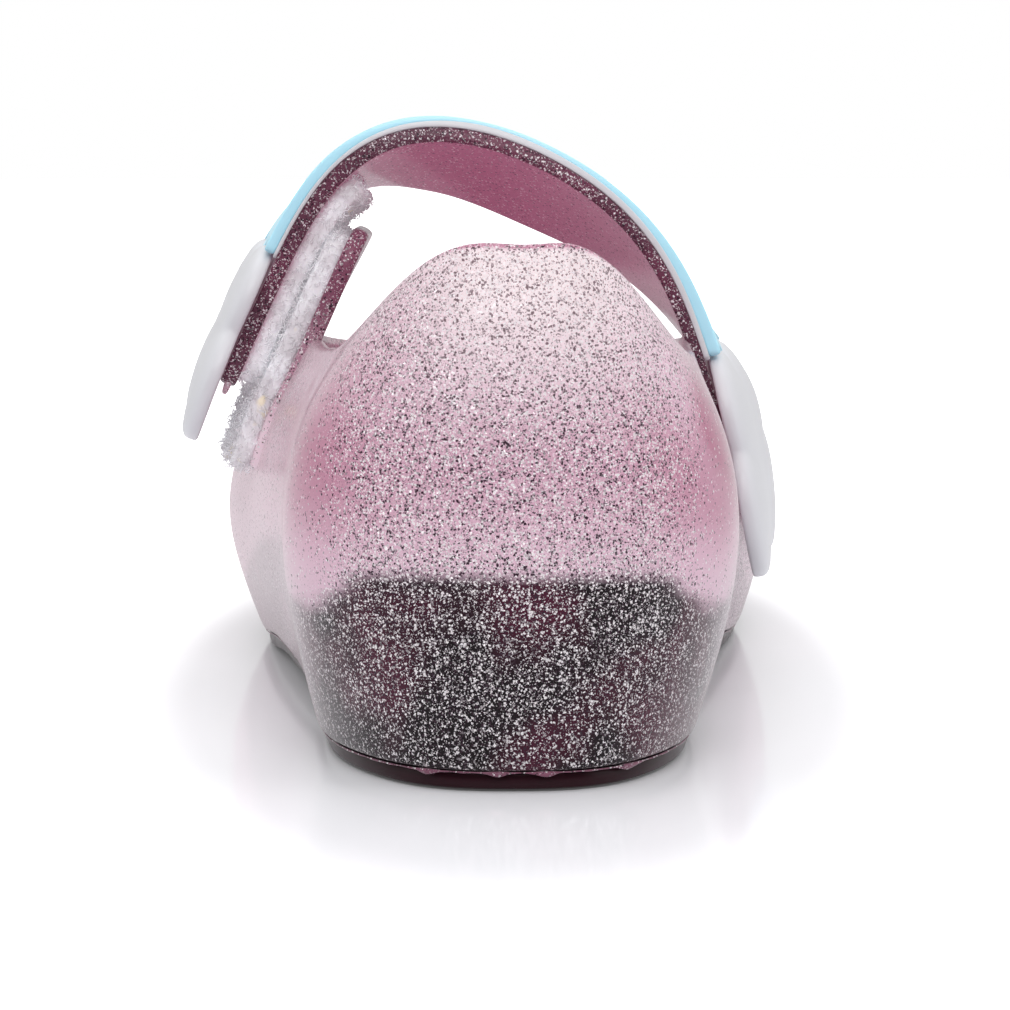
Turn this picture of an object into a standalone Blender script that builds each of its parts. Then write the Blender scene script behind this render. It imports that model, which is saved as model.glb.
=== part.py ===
# Toddler's jelly sandal for the left foot, empty, standing on its sole.
# +Y points to the toe, +X to the medial side, +Z up, and the floor is z = 0.
# The origin is the centre of the heel's flat spot. Lengths are metres, angles degrees.

from collections import namedtuple

import bpy
import numpy as np

# Size of the last and the heights of the topline above the floor
LENGTH = 0.165
BALL_WIDTH = 0.068
HEEL_WIDTH = 0.0475
COUNTER_HEIGHT = 0.0524
QUARTER_HEIGHT = 0.0400
VAMP_HEIGHT = 0.0370
HEEL_SEAT = 0.020

# Walls and soles; each SHARE is a place along the sole as a share of LENGTH
WALL = 0.0020
GAP = 0.0003
SOLE_FIT = 0.0004
OUTSOLE_THICK = 0.0016
OUTSOLE_INSET = 0.0008
INSOLE_THICK = 0.0020
FOOTBED_HEEL = 0.0184
FOOTBED_BALL = 0.0050
WEDGE_SHARES = (0.16, 0.66)
ARCH_RISE = 0.0015
ARCH_UP_SHARES = (0.22, 0.38)
ARCH_DOWN_SHARES = (0.46, 0.60)
TOE_SPRING = 0.0050
SPRING_SHARE = 0.74
GROOVE_DEPTH = 0.0007
GROOVE_WIDTH = 0.0018
GROOVE_PITCH = 0.0060
GROOVE_MARGIN = 0.0070

# Ankle strap, its tab and what is glued to them
STRAP_RISE = 0.06365
STRAP_WIDTH = 0.0205
STRAP_THICK = 0.0018
TAB_DROP = 0.01105
TAB_THICK = 0.0020
TAB_WIDTH = 0.0200
BACKING_THICK = 0.0006
BAND_THICK = 0.0007
BAND_INSET = 0.0004
TAPE_THICK = 0.0016
TAPE_INSET = 0.0014
STRAP_CORNER = 0.0040
TAPE_CORNER = 0.0015

# Puffed end plates
LATERAL_PLATE = 0.0236
MEDIAL_PLATE = 0.0262
PLATE_WIDTH = 0.0310
PLATE_EDGE = 0.0017
PLATE_CROWN = 0.0029
PLATE_RIM = 0.75
PLATE_MIDDLE = 0.45
PLATE_CLEARANCE = 0.0007

# Open toe
TOE_HOLE_WIDTH = 0.0240
TOE_HOLE_HEIGHT = 0.0100
TOE_HOLE_ABOVE = 0.0195
TOE_HOLE_ACROSS = 0.0015
TOE_HOLE_REACH = 0.0200

# Mesh density
COLUMNS = 84
ROWS = 13
FINE_ROWS = 78
SPINE_SAMPLES = 240
STRAP_STEP = 0.0030
END_MARGIN = 0.0010
NORMAL_STEP = 0.0007
ACROSS_STEPS = 8
PLATE_SPOKES = 42
UNDER_RINGS = (0.3, 0.65, 1.0)
FACE_RINGS = (1.0, 0.96, 0.8, 0.6, 0.3)
WEDGE_RINGS = 4
SHARP_ANGLE = 35

HALF_WIDTH = {"heel": HEEL_WIDTH / 2, "ball": BALL_WIDTH / 2}
HEIGHT = {"counter": COUNTER_HEIGHT, "quarter": QUARTER_HEIGHT, "vamp": VAMP_HEIGHT,
          "strap": STRAP_RISE, "tab": STRAP_RISE - TAB_DROP}
SOLE_TOP = OUTSOLE_THICK + GAP

# Upright sections round the last, from the heel's back along the lateral side to the toe and back.
# base is (across, along); belly, shoulder and rim are (across, along, up).
# across is a share of half the named width, along of LENGTH, up of the named height.
Station = namedtuple("Station", "name width height base belly shoulder rim")
STATIONS = (
    Station("heel_back", "heel", "counter",
            base=(0.00, -0.003), belly=(0.00, 0.000, 0.46),
            shoulder=(0.00, 0.010, 0.76), rim=(0.05, 0.033, 1.00)),
    Station("lateral_counter", "heel", "counter",
            base=(-0.47, 0.022), belly=(-0.66, 0.030, 0.46),
            shoulder=(-0.58, 0.036, 0.75), rim=(-0.33, 0.044, 0.975)),
    Station("lateral_heel", "heel", "counter",
            base=(-0.74, 0.091), belly=(-0.92, 0.092, 0.46),
            shoulder=(-0.83, 0.090, 0.68), rim=(-0.61, 0.090, 0.850)),
    Station("lateral_heel_front", "heel", "quarter",
            base=(-0.87, 0.215), belly=(-1.01, 0.205, 0.58),
            shoulder=(-0.93, 0.198, 0.84), rim=(-0.79, 0.185, 1.025)),
    Station("lateral_waist", "ball", "quarter",
            base=(-0.69, 0.340), belly=(-0.81, 0.333, 0.54),
            shoulder=(-0.74, 0.325, 0.80), rim=(-0.62, 0.312, 1.000)),
    Station("lateral_strap", "ball", "quarter",
            base=(-0.82, 0.485), belly=(-0.94, 0.482, 0.48),
            shoulder=(-0.84, 0.470, 0.76), rim=(-0.67, 0.455, 0.990)),
    Station("lateral_ball", "ball", "quarter",
            base=(-0.915, 0.625), belly=(-1.04, 0.632, 0.42),
            shoulder=(-0.90, 0.610, 0.74), rim=(-0.60, 0.565, 0.960)),
    Station("lateral_toe", "ball", "vamp",
            base=(-0.83, 0.800), belly=(-0.96, 0.815, 0.38),
            shoulder=(-0.78, 0.788, 0.765), rim=(-0.395, 0.632, 1.010)),
    Station("lateral_tip", "ball", "vamp",
            base=(-0.49, 0.925), belly=(-0.58, 0.953, 0.36),
            shoulder=(-0.46, 0.914, 0.755), rim=(-0.18, 0.655, 1.003)),
    Station("toe", "ball", "vamp",
            base=(0.09, 0.965), belly=(0.09, 1.000, 0.36),
            shoulder=(0.06, 0.955, 0.755), rim=(0.01, 0.663, 1.00)),
    Station("medial_tip", "ball", "vamp",
            base=(0.60, 0.925), belly=(0.69, 0.953, 0.36),
            shoulder=(0.55, 0.914, 0.755), rim=(0.19, 0.655, 1.003)),
    Station("medial_toe", "ball", "vamp",
            base=(0.84, 0.815), belly=(0.94, 0.830, 0.38),
            shoulder=(0.78, 0.798, 0.765), rim=(0.39, 0.632, 1.010)),
    Station("medial_ball", "ball", "quarter",
            base=(0.87, 0.660), belly=(0.970, 0.668, 0.42),
            shoulder=(0.84, 0.630, 0.74), rim=(0.58, 0.565, 0.960)),
    Station("medial_strap", "ball", "quarter",
            base=(0.73, 0.495), belly=(0.83, 0.492, 0.46),
            shoulder=(0.748, 0.480, 0.76), rim=(0.615, 0.460, 0.985)),
    Station("medial_waist", "ball", "quarter",
            base=(0.60, 0.345), belly=(0.72, 0.338, 0.52),
            shoulder=(0.65, 0.330, 0.80), rim=(0.57, 0.315, 1.000)),
    Station("medial_heel_front", "heel", "quarter",
            base=(0.82, 0.215), belly=(0.99, 0.205, 0.58),
            shoulder=(0.90, 0.198, 0.84), rim=(0.79, 0.185, 1.020)),
    Station("medial_heel", "heel", "counter",
            base=(0.72, 0.091), belly=(0.92, 0.092, 0.46),
            shoulder=(0.83, 0.090, 0.68), rim=(0.64, 0.090, 0.840)),
    Station("medial_counter", "heel", "counter",
            base=(0.47, 0.022), belly=(0.66, 0.030, 0.46),
            shoulder=(0.58, 0.036, 0.75), rim=(0.39, 0.044, 0.972)),
)

# Rear edge of a strap's outer face, in a plane across the shoe at STRAP_SHARE of its length.
# across is a share of half BALL_WIDTH, up of the named height, and pitch is how far the strap's
# width leans in toward the instep as it runs forward.
STRAP_SHARE = 0.376
Bend = namedtuple("Bend", "name across height up pitch")
STRAP_BENDS = (
    Bend("lateral_tip", -1.040, "quarter", 0.694, -5),
    Bend("lateral_end", -0.968, "quarter", 0.864, -5),
    Bend("lateral_hang", -0.841, "strap", 0.696, -5),
    Bend("lateral_shoulder", -0.720, "strap", 0.827, -3),
    Bend("lateral_rise", -0.560, "strap", 0.939, 6),
    Bend("crest_lateral", -0.390, "strap", 0.990, 14),
    Bend("crest", -0.200, "strap", 1.000, 18),
    Bend("crest_medial", 0.138, "strap", 0.944, 20),
    Bend("medial_rise", 0.391, "strap", 0.845, 15),
    Bend("medial_shoulder", 0.536, "strap", 0.737, 7),
    Bend("medial_fall", 0.621, "quarter", 0.999, -1),
    Bend("medial_root", 0.697, "quarter", 0.791, -8),
    Bend("medial_end", 0.746, "quarter", 0.624, -8),
    Bend("medial_tip", 0.806, "quarter", 0.306, -6),
)
TAB_BENDS = (
    Bend("tab_foot", -0.872, "quarter", 0.618, -7),
    Bend("tab_root", -0.827, "quarter", 0.740, -6),
    Bend("tab_middle", -0.732, "quarter", 0.914, -4),
    Bend("tab_neck", -0.640, "tab", 0.828, -2),
    Bend("tab_top", -0.520, "tab", 0.998, 0),
)

# Round lobes of an end plate: along is a share of its height, measured from its flat foot,
# across of its width, measured from its middle, and radius of its height.
Lobe = namedtuple("Lobe", "along across radius")
PLATE_LOBES = (
    Lobe(0.32, -0.260, 0.315),
    Lobe(0.70, -0.190, 0.300),
    Lobe(0.72, 0.170, 0.280),
    Lobe(0.34, 0.270, 0.300),
    Lobe(0.50, 0.000, 0.420),
)

# Tread grooves: along is the first groove's place as a share of LENGTH.
TreadBlock = namedtuple("TreadBlock", "along count")
TREAD_BLOCKS = (TreadBlock(0.045, 1), TreadBlock(0.185, 2), TreadBlock(0.520, 3), TreadBlock(0.740, 4))

# Linear base colour, roughness and metallic value of each piece
Finish = namedtuple("Finish", "colour roughness metallic")
FINISHES = {
    "upper": Finish((0.50, 0.25, 0.33), 0.28, 0.0),
    "outsole": Finish((0.060, 0.008, 0.018), 0.35, 0.0),
    "midsole": Finish((0.045, 0.030, 0.040), 0.70, 0.0),
    "insole": Finish((0.62, 0.38, 0.46), 0.60, 0.0),
    "strap_backing": Finish((0.86, 0.87, 0.89), 0.40, 0.0),
    "strap_band": Finish((0.42, 0.80, 0.96), 0.40, 0.0),
    "plate_lateral": Finish((0.86, 0.87, 0.89), 0.42, 0.0),
    "plate_medial": Finish((0.86, 0.87, 0.89), 0.42, 0.0),
    "loop_tape": Finish((0.84, 0.83, 0.83), 0.90, 0.0),
    "hook_tape": Finish((0.84, 0.83, 0.83), 0.90, 0.0),
}


# Splines and small helpers

def chord_knots(points):
    """Running length along a list of points."""
    steps = np.linalg.norm(np.diff(points, axis=0), axis=1)
    return np.concatenate([[0.0], np.cumsum(steps)])


def spline_pieces(knots, values, bends, at, following):
    """Cubic through values with second derivatives bends, read at the places at."""
    piece = np.clip(np.searchsorted(knots, at, side="right") - 1, 0, len(knots) - 2)
    after = following(piece)
    width = np.diff(knots)[piece][:, None]
    done = (at - knots[piece])[:, None]
    left = width - done
    curved = (bends[piece] * left ** 3 + bends[after] * done ** 3) / (6 * width)
    start = values[piece] / width - bends[piece] * width / 6
    end = values[after] / width - bends[after] * width / 6
    return curved + start * left + end * done


def closed_spline(knots, values, at):
    """Periodic cubic through values; the last knot repeats the first value."""
    count = len(values)
    width = np.diff(knots)
    matrix = np.zeros((count, count))
    slopes = np.zeros(values.shape)
    for i in range(count):
        before, after = (i - 1) % count, (i + 1) % count
        matrix[i, before] += width[before]
        matrix[i, i] += 2 * (width[before] + width[i])
        matrix[i, after] += width[i]
        rise, fall = values[after] - values[i], values[i] - values[before]
        slopes[i] = 6 * (rise / width[i] - fall / width[before])
    bends = np.linalg.solve(matrix, slopes)
    return spline_pieces(knots, values, bends, at, lambda piece: (piece + 1) % count)


def open_spline(knots, values, at):
    """Natural cubic through values."""
    count = len(knots)
    width = np.diff(knots)
    matrix = np.eye(count)
    slopes = np.zeros(values.shape)
    for i in range(1, count - 1):
        matrix[i, i - 1:i + 2] = width[i - 1], 2 * (width[i - 1] + width[i]), width[i]
        rise, fall = values[i + 1] - values[i], values[i] - values[i - 1]
        slopes[i] = 6 * (rise / width[i] - fall / width[i - 1])
    bends = np.linalg.solve(matrix, slopes)
    return spline_pieces(knots, values, bends, at, lambda piece: piece + 1)


def ease(low, high, value):
    """0 below low, 1 above high and smooth between."""
    share = np.clip((value - low) / (high - low), 0.0, 1.0)
    return share * share * (3 - 2 * share)


# Form of the last

def tread(y):
    """Height of the sole's underside above the floor at y."""
    share = (y + HEEL_SEAT) / LENGTH
    arch = ARCH_RISE * ease(*ARCH_UP_SHARES, share) * (1 - ease(*ARCH_DOWN_SHARES, share))
    spring = TOE_SPRING * np.clip((share - SPRING_SHARE) / (1 - SPRING_SHARE), 0.0, None) ** 2
    return arch + spring


def footbed(y):
    """Height of the midsole's top face at y, from the heel wedge down to the ball."""
    share = (y + HEEL_SEAT) / LENGTH
    return FOOTBED_HEEL + (FOOTBED_BALL - FOOTBED_HEEL) * ease(*WEDGE_SHARES, share) + tread(y)


def station_points():
    """The table's sections in metres: one row of base, belly, shoulder and rim each."""
    rows = []
    for station in STATIONS:
        half = HALF_WIDTH[station.width]
        height = HEIGHT[station.height]
        across, along = station.base
        points = [(across * half, along * LENGTH, SOLE_TOP)]
        for across, along, up in (station.belly, station.shoulder, station.rim):
            points.append((across * half, along * LENGTH, up * height))
        rows.append(points)
    return np.array(rows)


def last_form(columns, shares):
    """Outer face of the shell as a grid: columns round the foot, shares of the way up each."""
    sections = station_points()
    ring = np.vstack([sections[:, 1, :2], sections[:1, 1, :2]])
    knots = chord_knots(ring)
    at = np.arange(columns) * knots[-1] / columns
    levels = closed_spline(knots, sections.reshape(len(sections), -1), at).reshape(columns, -1, 3)
    grid = np.zeros((columns, len(shares), 3))
    for column, points in enumerate(levels):
        height = chord_knots(points)
        grid[column] = open_spline(height, points, np.asarray(shares) * height[-1])
    grid[..., 1] -= HEEL_SEAT
    grid[..., 2] += tread(grid[..., 1]) * (1 - grid[..., 2] / COUNTER_HEIGHT)
    return grid


def outward_normals(grid):
    """Unit normals of a grid that closes round its columns."""
    around = np.roll(grid, -1, axis=0) - np.roll(grid, 1, axis=0)
    up = np.gradient(grid, axis=1)
    normals = np.cross(up, around)
    return normals / np.linalg.norm(normals, axis=2, keepdims=True)


def inside_ring(depth, height):
    """Ring on the shell's face sunk by depth, where it meets the surface z = height(y)."""
    fine = last_form(COLUMNS, np.linspace(0, 1, FINE_ROWS))
    wall = fine - depth * outward_normals(fine)
    ring = np.zeros((COLUMNS, 3))
    for column, points in enumerate(wall):
        above = points[:, 2] - height(points[:, 1])
        ring[column] = [np.interp(0.0, above, points[:, axis]) for axis in range(3)]
        ring[column, 2] = height(ring[column, 1])
    return ring


# Objects

def new_collection(name):
    collection = bpy.data.collections.new(name)
    bpy.context.scene.collection.children.link(collection)
    return collection


def material(name):
    finish = FINISHES[name]
    made = bpy.data.materials.new(name)
    made.use_nodes = True
    shader = made.node_tree.nodes["Principled BSDF"]
    shader.inputs["Base Color"].default_value = (*finish.colour, 1.0)
    shader.inputs["Roughness"].default_value = finish.roughness
    shader.inputs["Metallic"].default_value = finish.metallic
    made.diffuse_color = (*finish.colour, 1.0)
    return made


def make_cutter(made, name, cutters):
    """Moves a helper shape to the cutters' collection and keeps it out of renders."""
    made.name = name
    for owner in list(made.users_collection):
        owner.objects.unlink(made)
    cutters.objects.link(made)
    made.hide_render = True
    made.display_type = "WIRE"


def add_object(name, points, faces, collection):
    """Mesh object from points and faces, with its own material if it is a piece of the sandal."""
    mesh = bpy.data.meshes.new(name)
    mesh.from_pydata([tuple(point) for point in points], [], faces)
    made = bpy.data.objects.new(name, mesh)
    collection.objects.link(made)
    if name in FINISHES:
        mesh.materials.append(material(name))
        mesh.shade_smooth()
        mesh.set_sharp_from_angle(angle=np.radians(SHARP_ANGLE))
    else:
        make_cutter(made, name, collection)
    return made


def add_wall(made, thickness, offset):
    solidify = made.modifiers.new("wall", "SOLIDIFY")
    solidify.thickness = thickness
    solidify.offset = offset


def boolean(made, operation, other):
    modifier = made.modifiers.new(other.name, "BOOLEAN")
    modifier.operation = operation
    modifier.object = other


def grid_faces(columns, rows, closed):
    """Quads of a grid stored column by column; closed joins the last column to the first."""
    faces = []
    for i in range(columns if closed else columns - 1):
        after = (i + 1) % columns
        for j in range(rows - 1):
            faces.append((i * rows + j, after * rows + j, after * rows + j + 1, i * rows + j + 1))
    return faces


def zip_faces(start, count, down):
    """Strips across a ring of points that starts at the heel's back and has an even count."""
    faces = []
    for i in range(count // 2):
        left, far_left = start + i, start + i + 1
        right, far_right = start + (count - i) % count, start + count - i - 1
        corners = [left, far_left, far_right, right]
        face = list(dict.fromkeys(corners))
        faces.append(tuple(face if down else reversed(face)))
    return faces


def add_layer(name, rings, collection):
    """Closed solid through rings from its underside to its top face."""
    count = len(rings[0])
    points = np.array(rings).reshape(-1, 3)
    faces = zip_faces(0, count, True) + zip_faces((len(rings) - 1) * count, count, False)
    for level in range(len(rings) - 1):
        for i in range(count):
            after = (i + 1) % count
            low, high = level * count, (level + 1) * count
            faces.append((low + after, low + i, high + i, high + after))
    return add_object(name, points, faces, collection)


# Strap, tab and what lies on them

Spine = namedtuple("Spine", "reach points outward pitch marks")


def spine(bends):
    """Curve through a strap's table: points (across, up), outward directions and pitch by length."""
    half = BALL_WIDTH / 2
    rows = np.array([(bend.across * half, bend.up * HEIGHT[bend.height]) for bend in bends])
    knots = chord_knots(rows)
    marks = {bend.name: knots[i] for i, bend in enumerate(bends)}
    fine = np.linspace(0, knots[-1], SPINE_SAMPLES)
    points = open_spline(knots, rows, fine)
    slope = np.gradient(points, axis=0)
    slope /= np.linalg.norm(slope, axis=1, keepdims=True)
    outward = np.stack([-slope[:, 1], slope[:, 0]], axis=1)
    pitch = open_spline(knots, np.array([[float(bend.pitch)] for bend in bends]), fine)[:, 0]
    return Spine(fine, points, outward, np.radians(pitch), marks)


def strap_face(line, reach, across):
    """Point on a strap's outer face at a length along it and across from its rear edge."""
    x, z = (np.interp(reach, line.reach, line.points[:, axis]) for axis in range(2))
    out_x, out_z = (np.interp(reach, line.reach, line.outward[:, axis]) for axis in range(2))
    pitch = np.interp(reach, line.reach, line.pitch)
    lean = -across * np.sin(pitch)
    y = STRAP_SHARE * LENGTH - HEEL_SEAT + across * np.cos(pitch)
    return np.array([x + lean * out_x, y, z + lean * out_z])


def on_strap(line, reach, across, height):
    """Point above a strap's outer face, along the face's own normal."""
    step = NORMAL_STEP
    along = strap_face(line, reach + step, across) - strap_face(line, reach - step, across)
    over = strap_face(line, reach, across + step) - strap_face(line, reach, across - step)
    normal = np.cross(along, over)
    return strap_face(line, reach, across) + height * normal / np.linalg.norm(normal)


def rounded_end(end, way, rear, front, corner):
    """Reach of a band's end across its width, its corners rounded; way points into the band."""
    centre, flat = (rear + front) / 2, (front - rear) / 2 - corner

    def reach(across):
        share = np.clip((abs(across - centre) - flat) / corner, 0.0, 1.0)
        return end + way * corner * (1 - np.sqrt(1 - share ** 2))
    return reach


def end_at_plate(foot, tall, way):
    """Reach of a band's end across its width, clear of an end plate's round lobes."""
    def reach(across):
        top = 0.0
        for lobe in PLATE_LOBES:
            aside = across - STRAP_WIDTH / 2 - lobe.across * PLATE_WIDTH
            chord = (lobe.radius * tall + PLATE_CLEARANCE) ** 2 - aside ** 2
            if chord > 0:
                top = max(top, lobe.along * tall + np.sqrt(chord))
        return foot + way * top
    return reach


def add_ribbon(name, line, ends, edges, height, thickness, collection):
    """Band of even thickness above height over a strap's face: ends are functions, edges lengths."""
    rear, front = edges
    across = np.linspace(rear, front, ACROSS_STEPS + 1)
    starts = np.array([ends[0](place) for place in across])
    stops = np.array([ends[1](place) for place in across])
    steps = np.arange(round(line.reach[-1] / STRAP_STEP)) * STRAP_STEP
    middle = steps[(steps > starts.max() + END_MARGIN) & (steps < stops.min() - END_MARGIN)]
    rows = [starts] + [np.full(len(across), reach) for reach in middle] + [stops]
    points = [on_strap(line, reach, place, height) for row in rows for reach, place in zip(row, across)]
    made = add_object(name, points, grid_faces(len(rows), len(across), False), collection)
    add_wall(made, thickness, 1.0)
    return made


def lobe_reach(angle, tall):
    """A plate's middle, and the arm from it to the outline: round lobes cut by a flat foot."""
    heading = np.array([np.sin(angle), np.cos(angle)])
    middle = np.array([PLATE_MIDDLE * tall, 0.0])
    far = 0.0
    for lobe in PLATE_LOBES:
        offset = np.array([lobe.along * tall, lobe.across * PLATE_WIDTH]) - middle
        ahead = offset @ heading
        inside = (lobe.radius * tall) ** 2 - (offset @ offset - ahead ** 2)
        if inside > 0:
            far = max(far, ahead + np.sqrt(inside))
    if heading[0] < 0:
        far = min(far, middle[0] / -heading[0])
    return middle, heading * far


def puff(along, across, tall):
    """Height of a plate's face: each lobe is a low dome."""
    crown = 0.0
    for lobe in PLATE_LOBES:
        squared = (along - lobe.along * tall) ** 2 + (across - lobe.across * PLATE_WIDTH) ** 2
        crown = max(crown, 1 - squared / (lobe.radius * tall) ** 2)
    return PLATE_EDGE + (PLATE_CROWN - PLATE_EDGE) * np.sqrt(crown)


def add_plate(name, line, foot, tall, way, collection):
    """Puffed plate on a strap: foot is its flat end's length along it, way is +1 or -1."""
    angles = np.arange(PLATE_SPOKES) * 2 * np.pi / PLATE_SPOKES
    arms = [lobe_reach(angle, tall) for angle in angles]

    def point(share, middle, arm, top):
        along, across = middle + share * arm
        rounding = PLATE_RIM if share == 1.0 else 1.0
        height = puff(along, across, tall) * rounding if top else GAP
        return on_strap(line, foot + way * along, STRAP_WIDTH / 2 + across, height)

    rings = [(share, False) for share in UNDER_RINGS] + [(share, True) for share in FACE_RINGS]
    points = [point(share, middle, arm, top) for share, top in rings for middle, arm in arms]
    faces = []
    for level in range(len(rings) - 1):
        for i in range(PLATE_SPOKES):
            after = (i + 1) % PLATE_SPOKES
            low, high = level * PLATE_SPOKES, (level + 1) * PLATE_SPOKES
            faces.append((low + i, low + after, high + after, high + i))
    points += [point(0.0, *arms[0], False), point(0.0, *arms[0], True)]
    last = (len(rings) - 1) * PLATE_SPOKES
    for i in range(PLATE_SPOKES):
        after = (i + 1) % PLATE_SPOKES
        faces.append((i, len(points) - 2, after))
        faces.append((last + i, last + after, len(points) - 1))
    if way > 0:
        faces = [tuple(reversed(face)) for face in faces]
    add_object(name, points, faces, collection)


# Pieces of the sandal

def build_upper(parts, cutters, strap_line, tab_line):
    """One moulded shell with the strap and the tab fused on and the toe hole cut out."""
    grid = last_form(COLUMNS, np.linspace(0, 1, ROWS))
    faces = [tuple(reversed(face)) for face in grid_faces(COLUMNS, ROWS, True)]
    upper = add_object("upper", grid.reshape(-1, 3), faces, parts)
    add_wall(upper, WALL, -1.0)
    edges = (0.0, STRAP_WIDTH)
    ends = (rounded_end(strap_line.marks["lateral_end"], 1, *edges, STRAP_CORNER),
            rounded_end(strap_line.marks["medial_end"], -1, *edges, STRAP_CORNER))
    strap = add_ribbon("strap_blank", strap_line, ends, edges, -STRAP_THICK, STRAP_THICK, cutters)
    edges = (0.0, TAB_WIDTH)
    ends = (rounded_end(tab_line.marks["tab_foot"], 1, *edges, STRAP_CORNER),
            rounded_end(tab_line.marks["tab_top"], -1, *edges, STRAP_CORNER))
    tab = add_ribbon("tab_blank", tab_line, ends, edges, -TAB_THICK, TAB_THICK, cutters)
    boolean(upper, "UNION", strap)
    boolean(upper, "UNION", tab)
    bpy.ops.mesh.primitive_cylinder_add(vertices=32, radius=1.0, depth=1.0, rotation=(np.pi / 2, 0.0, 0.0))
    hole = bpy.context.active_object
    make_cutter(hole, "toe_hole", cutters)
    hole.location = (TOE_HOLE_ACROSS, LENGTH - HEEL_SEAT, TOE_HOLE_ABOVE)
    hole.scale = (TOE_HOLE_WIDTH / 2, TOE_HOLE_HEIGHT / 2, 2 * TOE_HOLE_REACH)
    boolean(upper, "DIFFERENCE", hole)


def build_soles(parts, cutters):
    """Outsole under the shell, heel wedge and insole inside it."""
    rim = last_form(COLUMNS, (0.0, 0.02))
    plan = rim[:, 0] - OUTSOLE_INSET * outward_normals(rim)[:, 0]
    top, bottom = plan.copy(), plan.copy()
    bottom[:, 2] = tread(bottom[:, 1])
    top[:, 2] = bottom[:, 2] + OUTSOLE_THICK
    outsole = add_layer("outsole", [bottom, top], parts)
    for i, (y, middle, reach) in enumerate(groove_places(bottom)):
        bpy.ops.mesh.primitive_cube_add(size=1.0)
        bar = bpy.context.active_object
        make_cutter(bar, f"tread_groove_{i}", cutters)
        bar.location = (middle, y, tread(y))
        bar.scale = (2 * reach, GROOVE_WIDTH, 2 * GROOVE_DEPTH)
        boolean(outsole, "DIFFERENCE", bar)

    def wedge_level(share):
        return lambda y: (1 - share) * (SOLE_TOP + tread(y)) + share * footbed(y)

    def lining_level(height):
        return lambda y: footbed(y) + height

    depth = WALL + SOLE_FIT
    wedge = [inside_ring(depth, wedge_level(share)) for share in np.linspace(0, 1, WEDGE_RINGS)]
    add_layer("midsole", wedge, parts)
    lining = [inside_ring(depth, lining_level(height)) for height in (GAP, GAP + INSOLE_THICK)]
    add_layer("insole", lining, parts)


def groove_places(plan):
    """Each groove's y, middle and half length, inside the outline plan."""
    places = []
    toe = len(plan) // 2
    lateral_side, medial_side = plan[:toe], plan[:toe - 1:-1]
    for block in TREAD_BLOCKS:
        for i in range(block.count):
            y = block.along * LENGTH - HEEL_SEAT + i * GROOVE_PITCH
            lateral = np.interp(y, lateral_side[:, 1], lateral_side[:, 0])
            medial = np.interp(y, medial_side[:, 1], medial_side[:, 0])
            places.append((y, (lateral + medial) / 2, (medial - lateral) / 2 - GROOVE_MARGIN))
    return places


def build_strap_layers(parts, strap_line, tab_line):
    """White backing, light blue band, two puffed plates and the two fastening tapes."""
    plates = (("plate_lateral", "lateral_tip", LATERAL_PLATE, 1),
              ("plate_medial", "medial_tip", MEDIAL_PLATE, -1))
    ends = []
    for name, mark, tall, way in plates:
        foot = strap_line.marks[mark]
        add_plate(name, strap_line, foot, tall, way, parts)
        ends.append(end_at_plate(foot, tall, way))
    add_ribbon("strap_backing", strap_line, ends, (0.0, STRAP_WIDTH), GAP, BACKING_THICK, parts)
    edges = (BAND_INSET, STRAP_WIDTH - BAND_INSET)
    add_ribbon("strap_band", strap_line, ends, edges, 2 * GAP + BACKING_THICK, BAND_THICK, parts)

    edges = (TAPE_INSET, STRAP_WIDTH - TAPE_INSET)
    ends = (rounded_end(strap_line.marks["lateral_end"] + TAPE_INSET, 1, *edges, TAPE_CORNER),
            rounded_end(strap_line.marks["lateral_rise"], -1, *edges, TAPE_CORNER))
    add_ribbon("hook_tape", strap_line, ends, edges, -STRAP_THICK - GAP - TAPE_THICK, TAPE_THICK, parts)
    edges = (TAPE_INSET, TAB_WIDTH - TAPE_INSET)
    ends = (rounded_end(tab_line.marks["tab_foot"], 1, *edges, TAPE_CORNER),
            rounded_end(tab_line.marks["tab_top"] - TAPE_INSET, -1, *edges, TAPE_CORNER))
    add_ribbon("loop_tape", tab_line, ends, edges, GAP, TAPE_THICK, parts)


def build_sandal():
    for old in list(bpy.data.objects):
        bpy.data.objects.remove(old, do_unlink=True)
    parts = new_collection("jelly_sandal")
    cutters = new_collection("cutters")
    strap_line = spine(STRAP_BENDS)
    tab_line = spine(TAB_BENDS)
    build_soles(parts, cutters)
    build_upper(parts, cutters, strap_line, tab_line)
    build_strap_layers(parts, strap_line, tab_line)


build_sandal()
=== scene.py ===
import math
from collections import namedtuple

import bpy
import numpy as np
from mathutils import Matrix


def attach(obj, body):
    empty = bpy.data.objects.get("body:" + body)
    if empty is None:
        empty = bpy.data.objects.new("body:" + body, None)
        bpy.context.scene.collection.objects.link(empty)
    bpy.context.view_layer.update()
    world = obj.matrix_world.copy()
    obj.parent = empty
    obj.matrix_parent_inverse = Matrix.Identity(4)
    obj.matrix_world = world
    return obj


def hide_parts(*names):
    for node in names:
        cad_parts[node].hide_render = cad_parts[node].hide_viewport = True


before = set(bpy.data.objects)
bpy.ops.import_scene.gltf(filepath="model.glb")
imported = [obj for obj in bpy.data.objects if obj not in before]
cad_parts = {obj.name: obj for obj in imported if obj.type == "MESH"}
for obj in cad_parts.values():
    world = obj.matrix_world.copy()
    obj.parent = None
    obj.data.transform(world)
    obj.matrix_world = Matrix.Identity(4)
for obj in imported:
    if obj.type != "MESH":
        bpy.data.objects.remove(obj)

# Toddler's glitter jelly sandal for the left foot, seen from behind on a glossy white floor.
# +Y points to the toe, +X to the medial side; lengths are metres.

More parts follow.
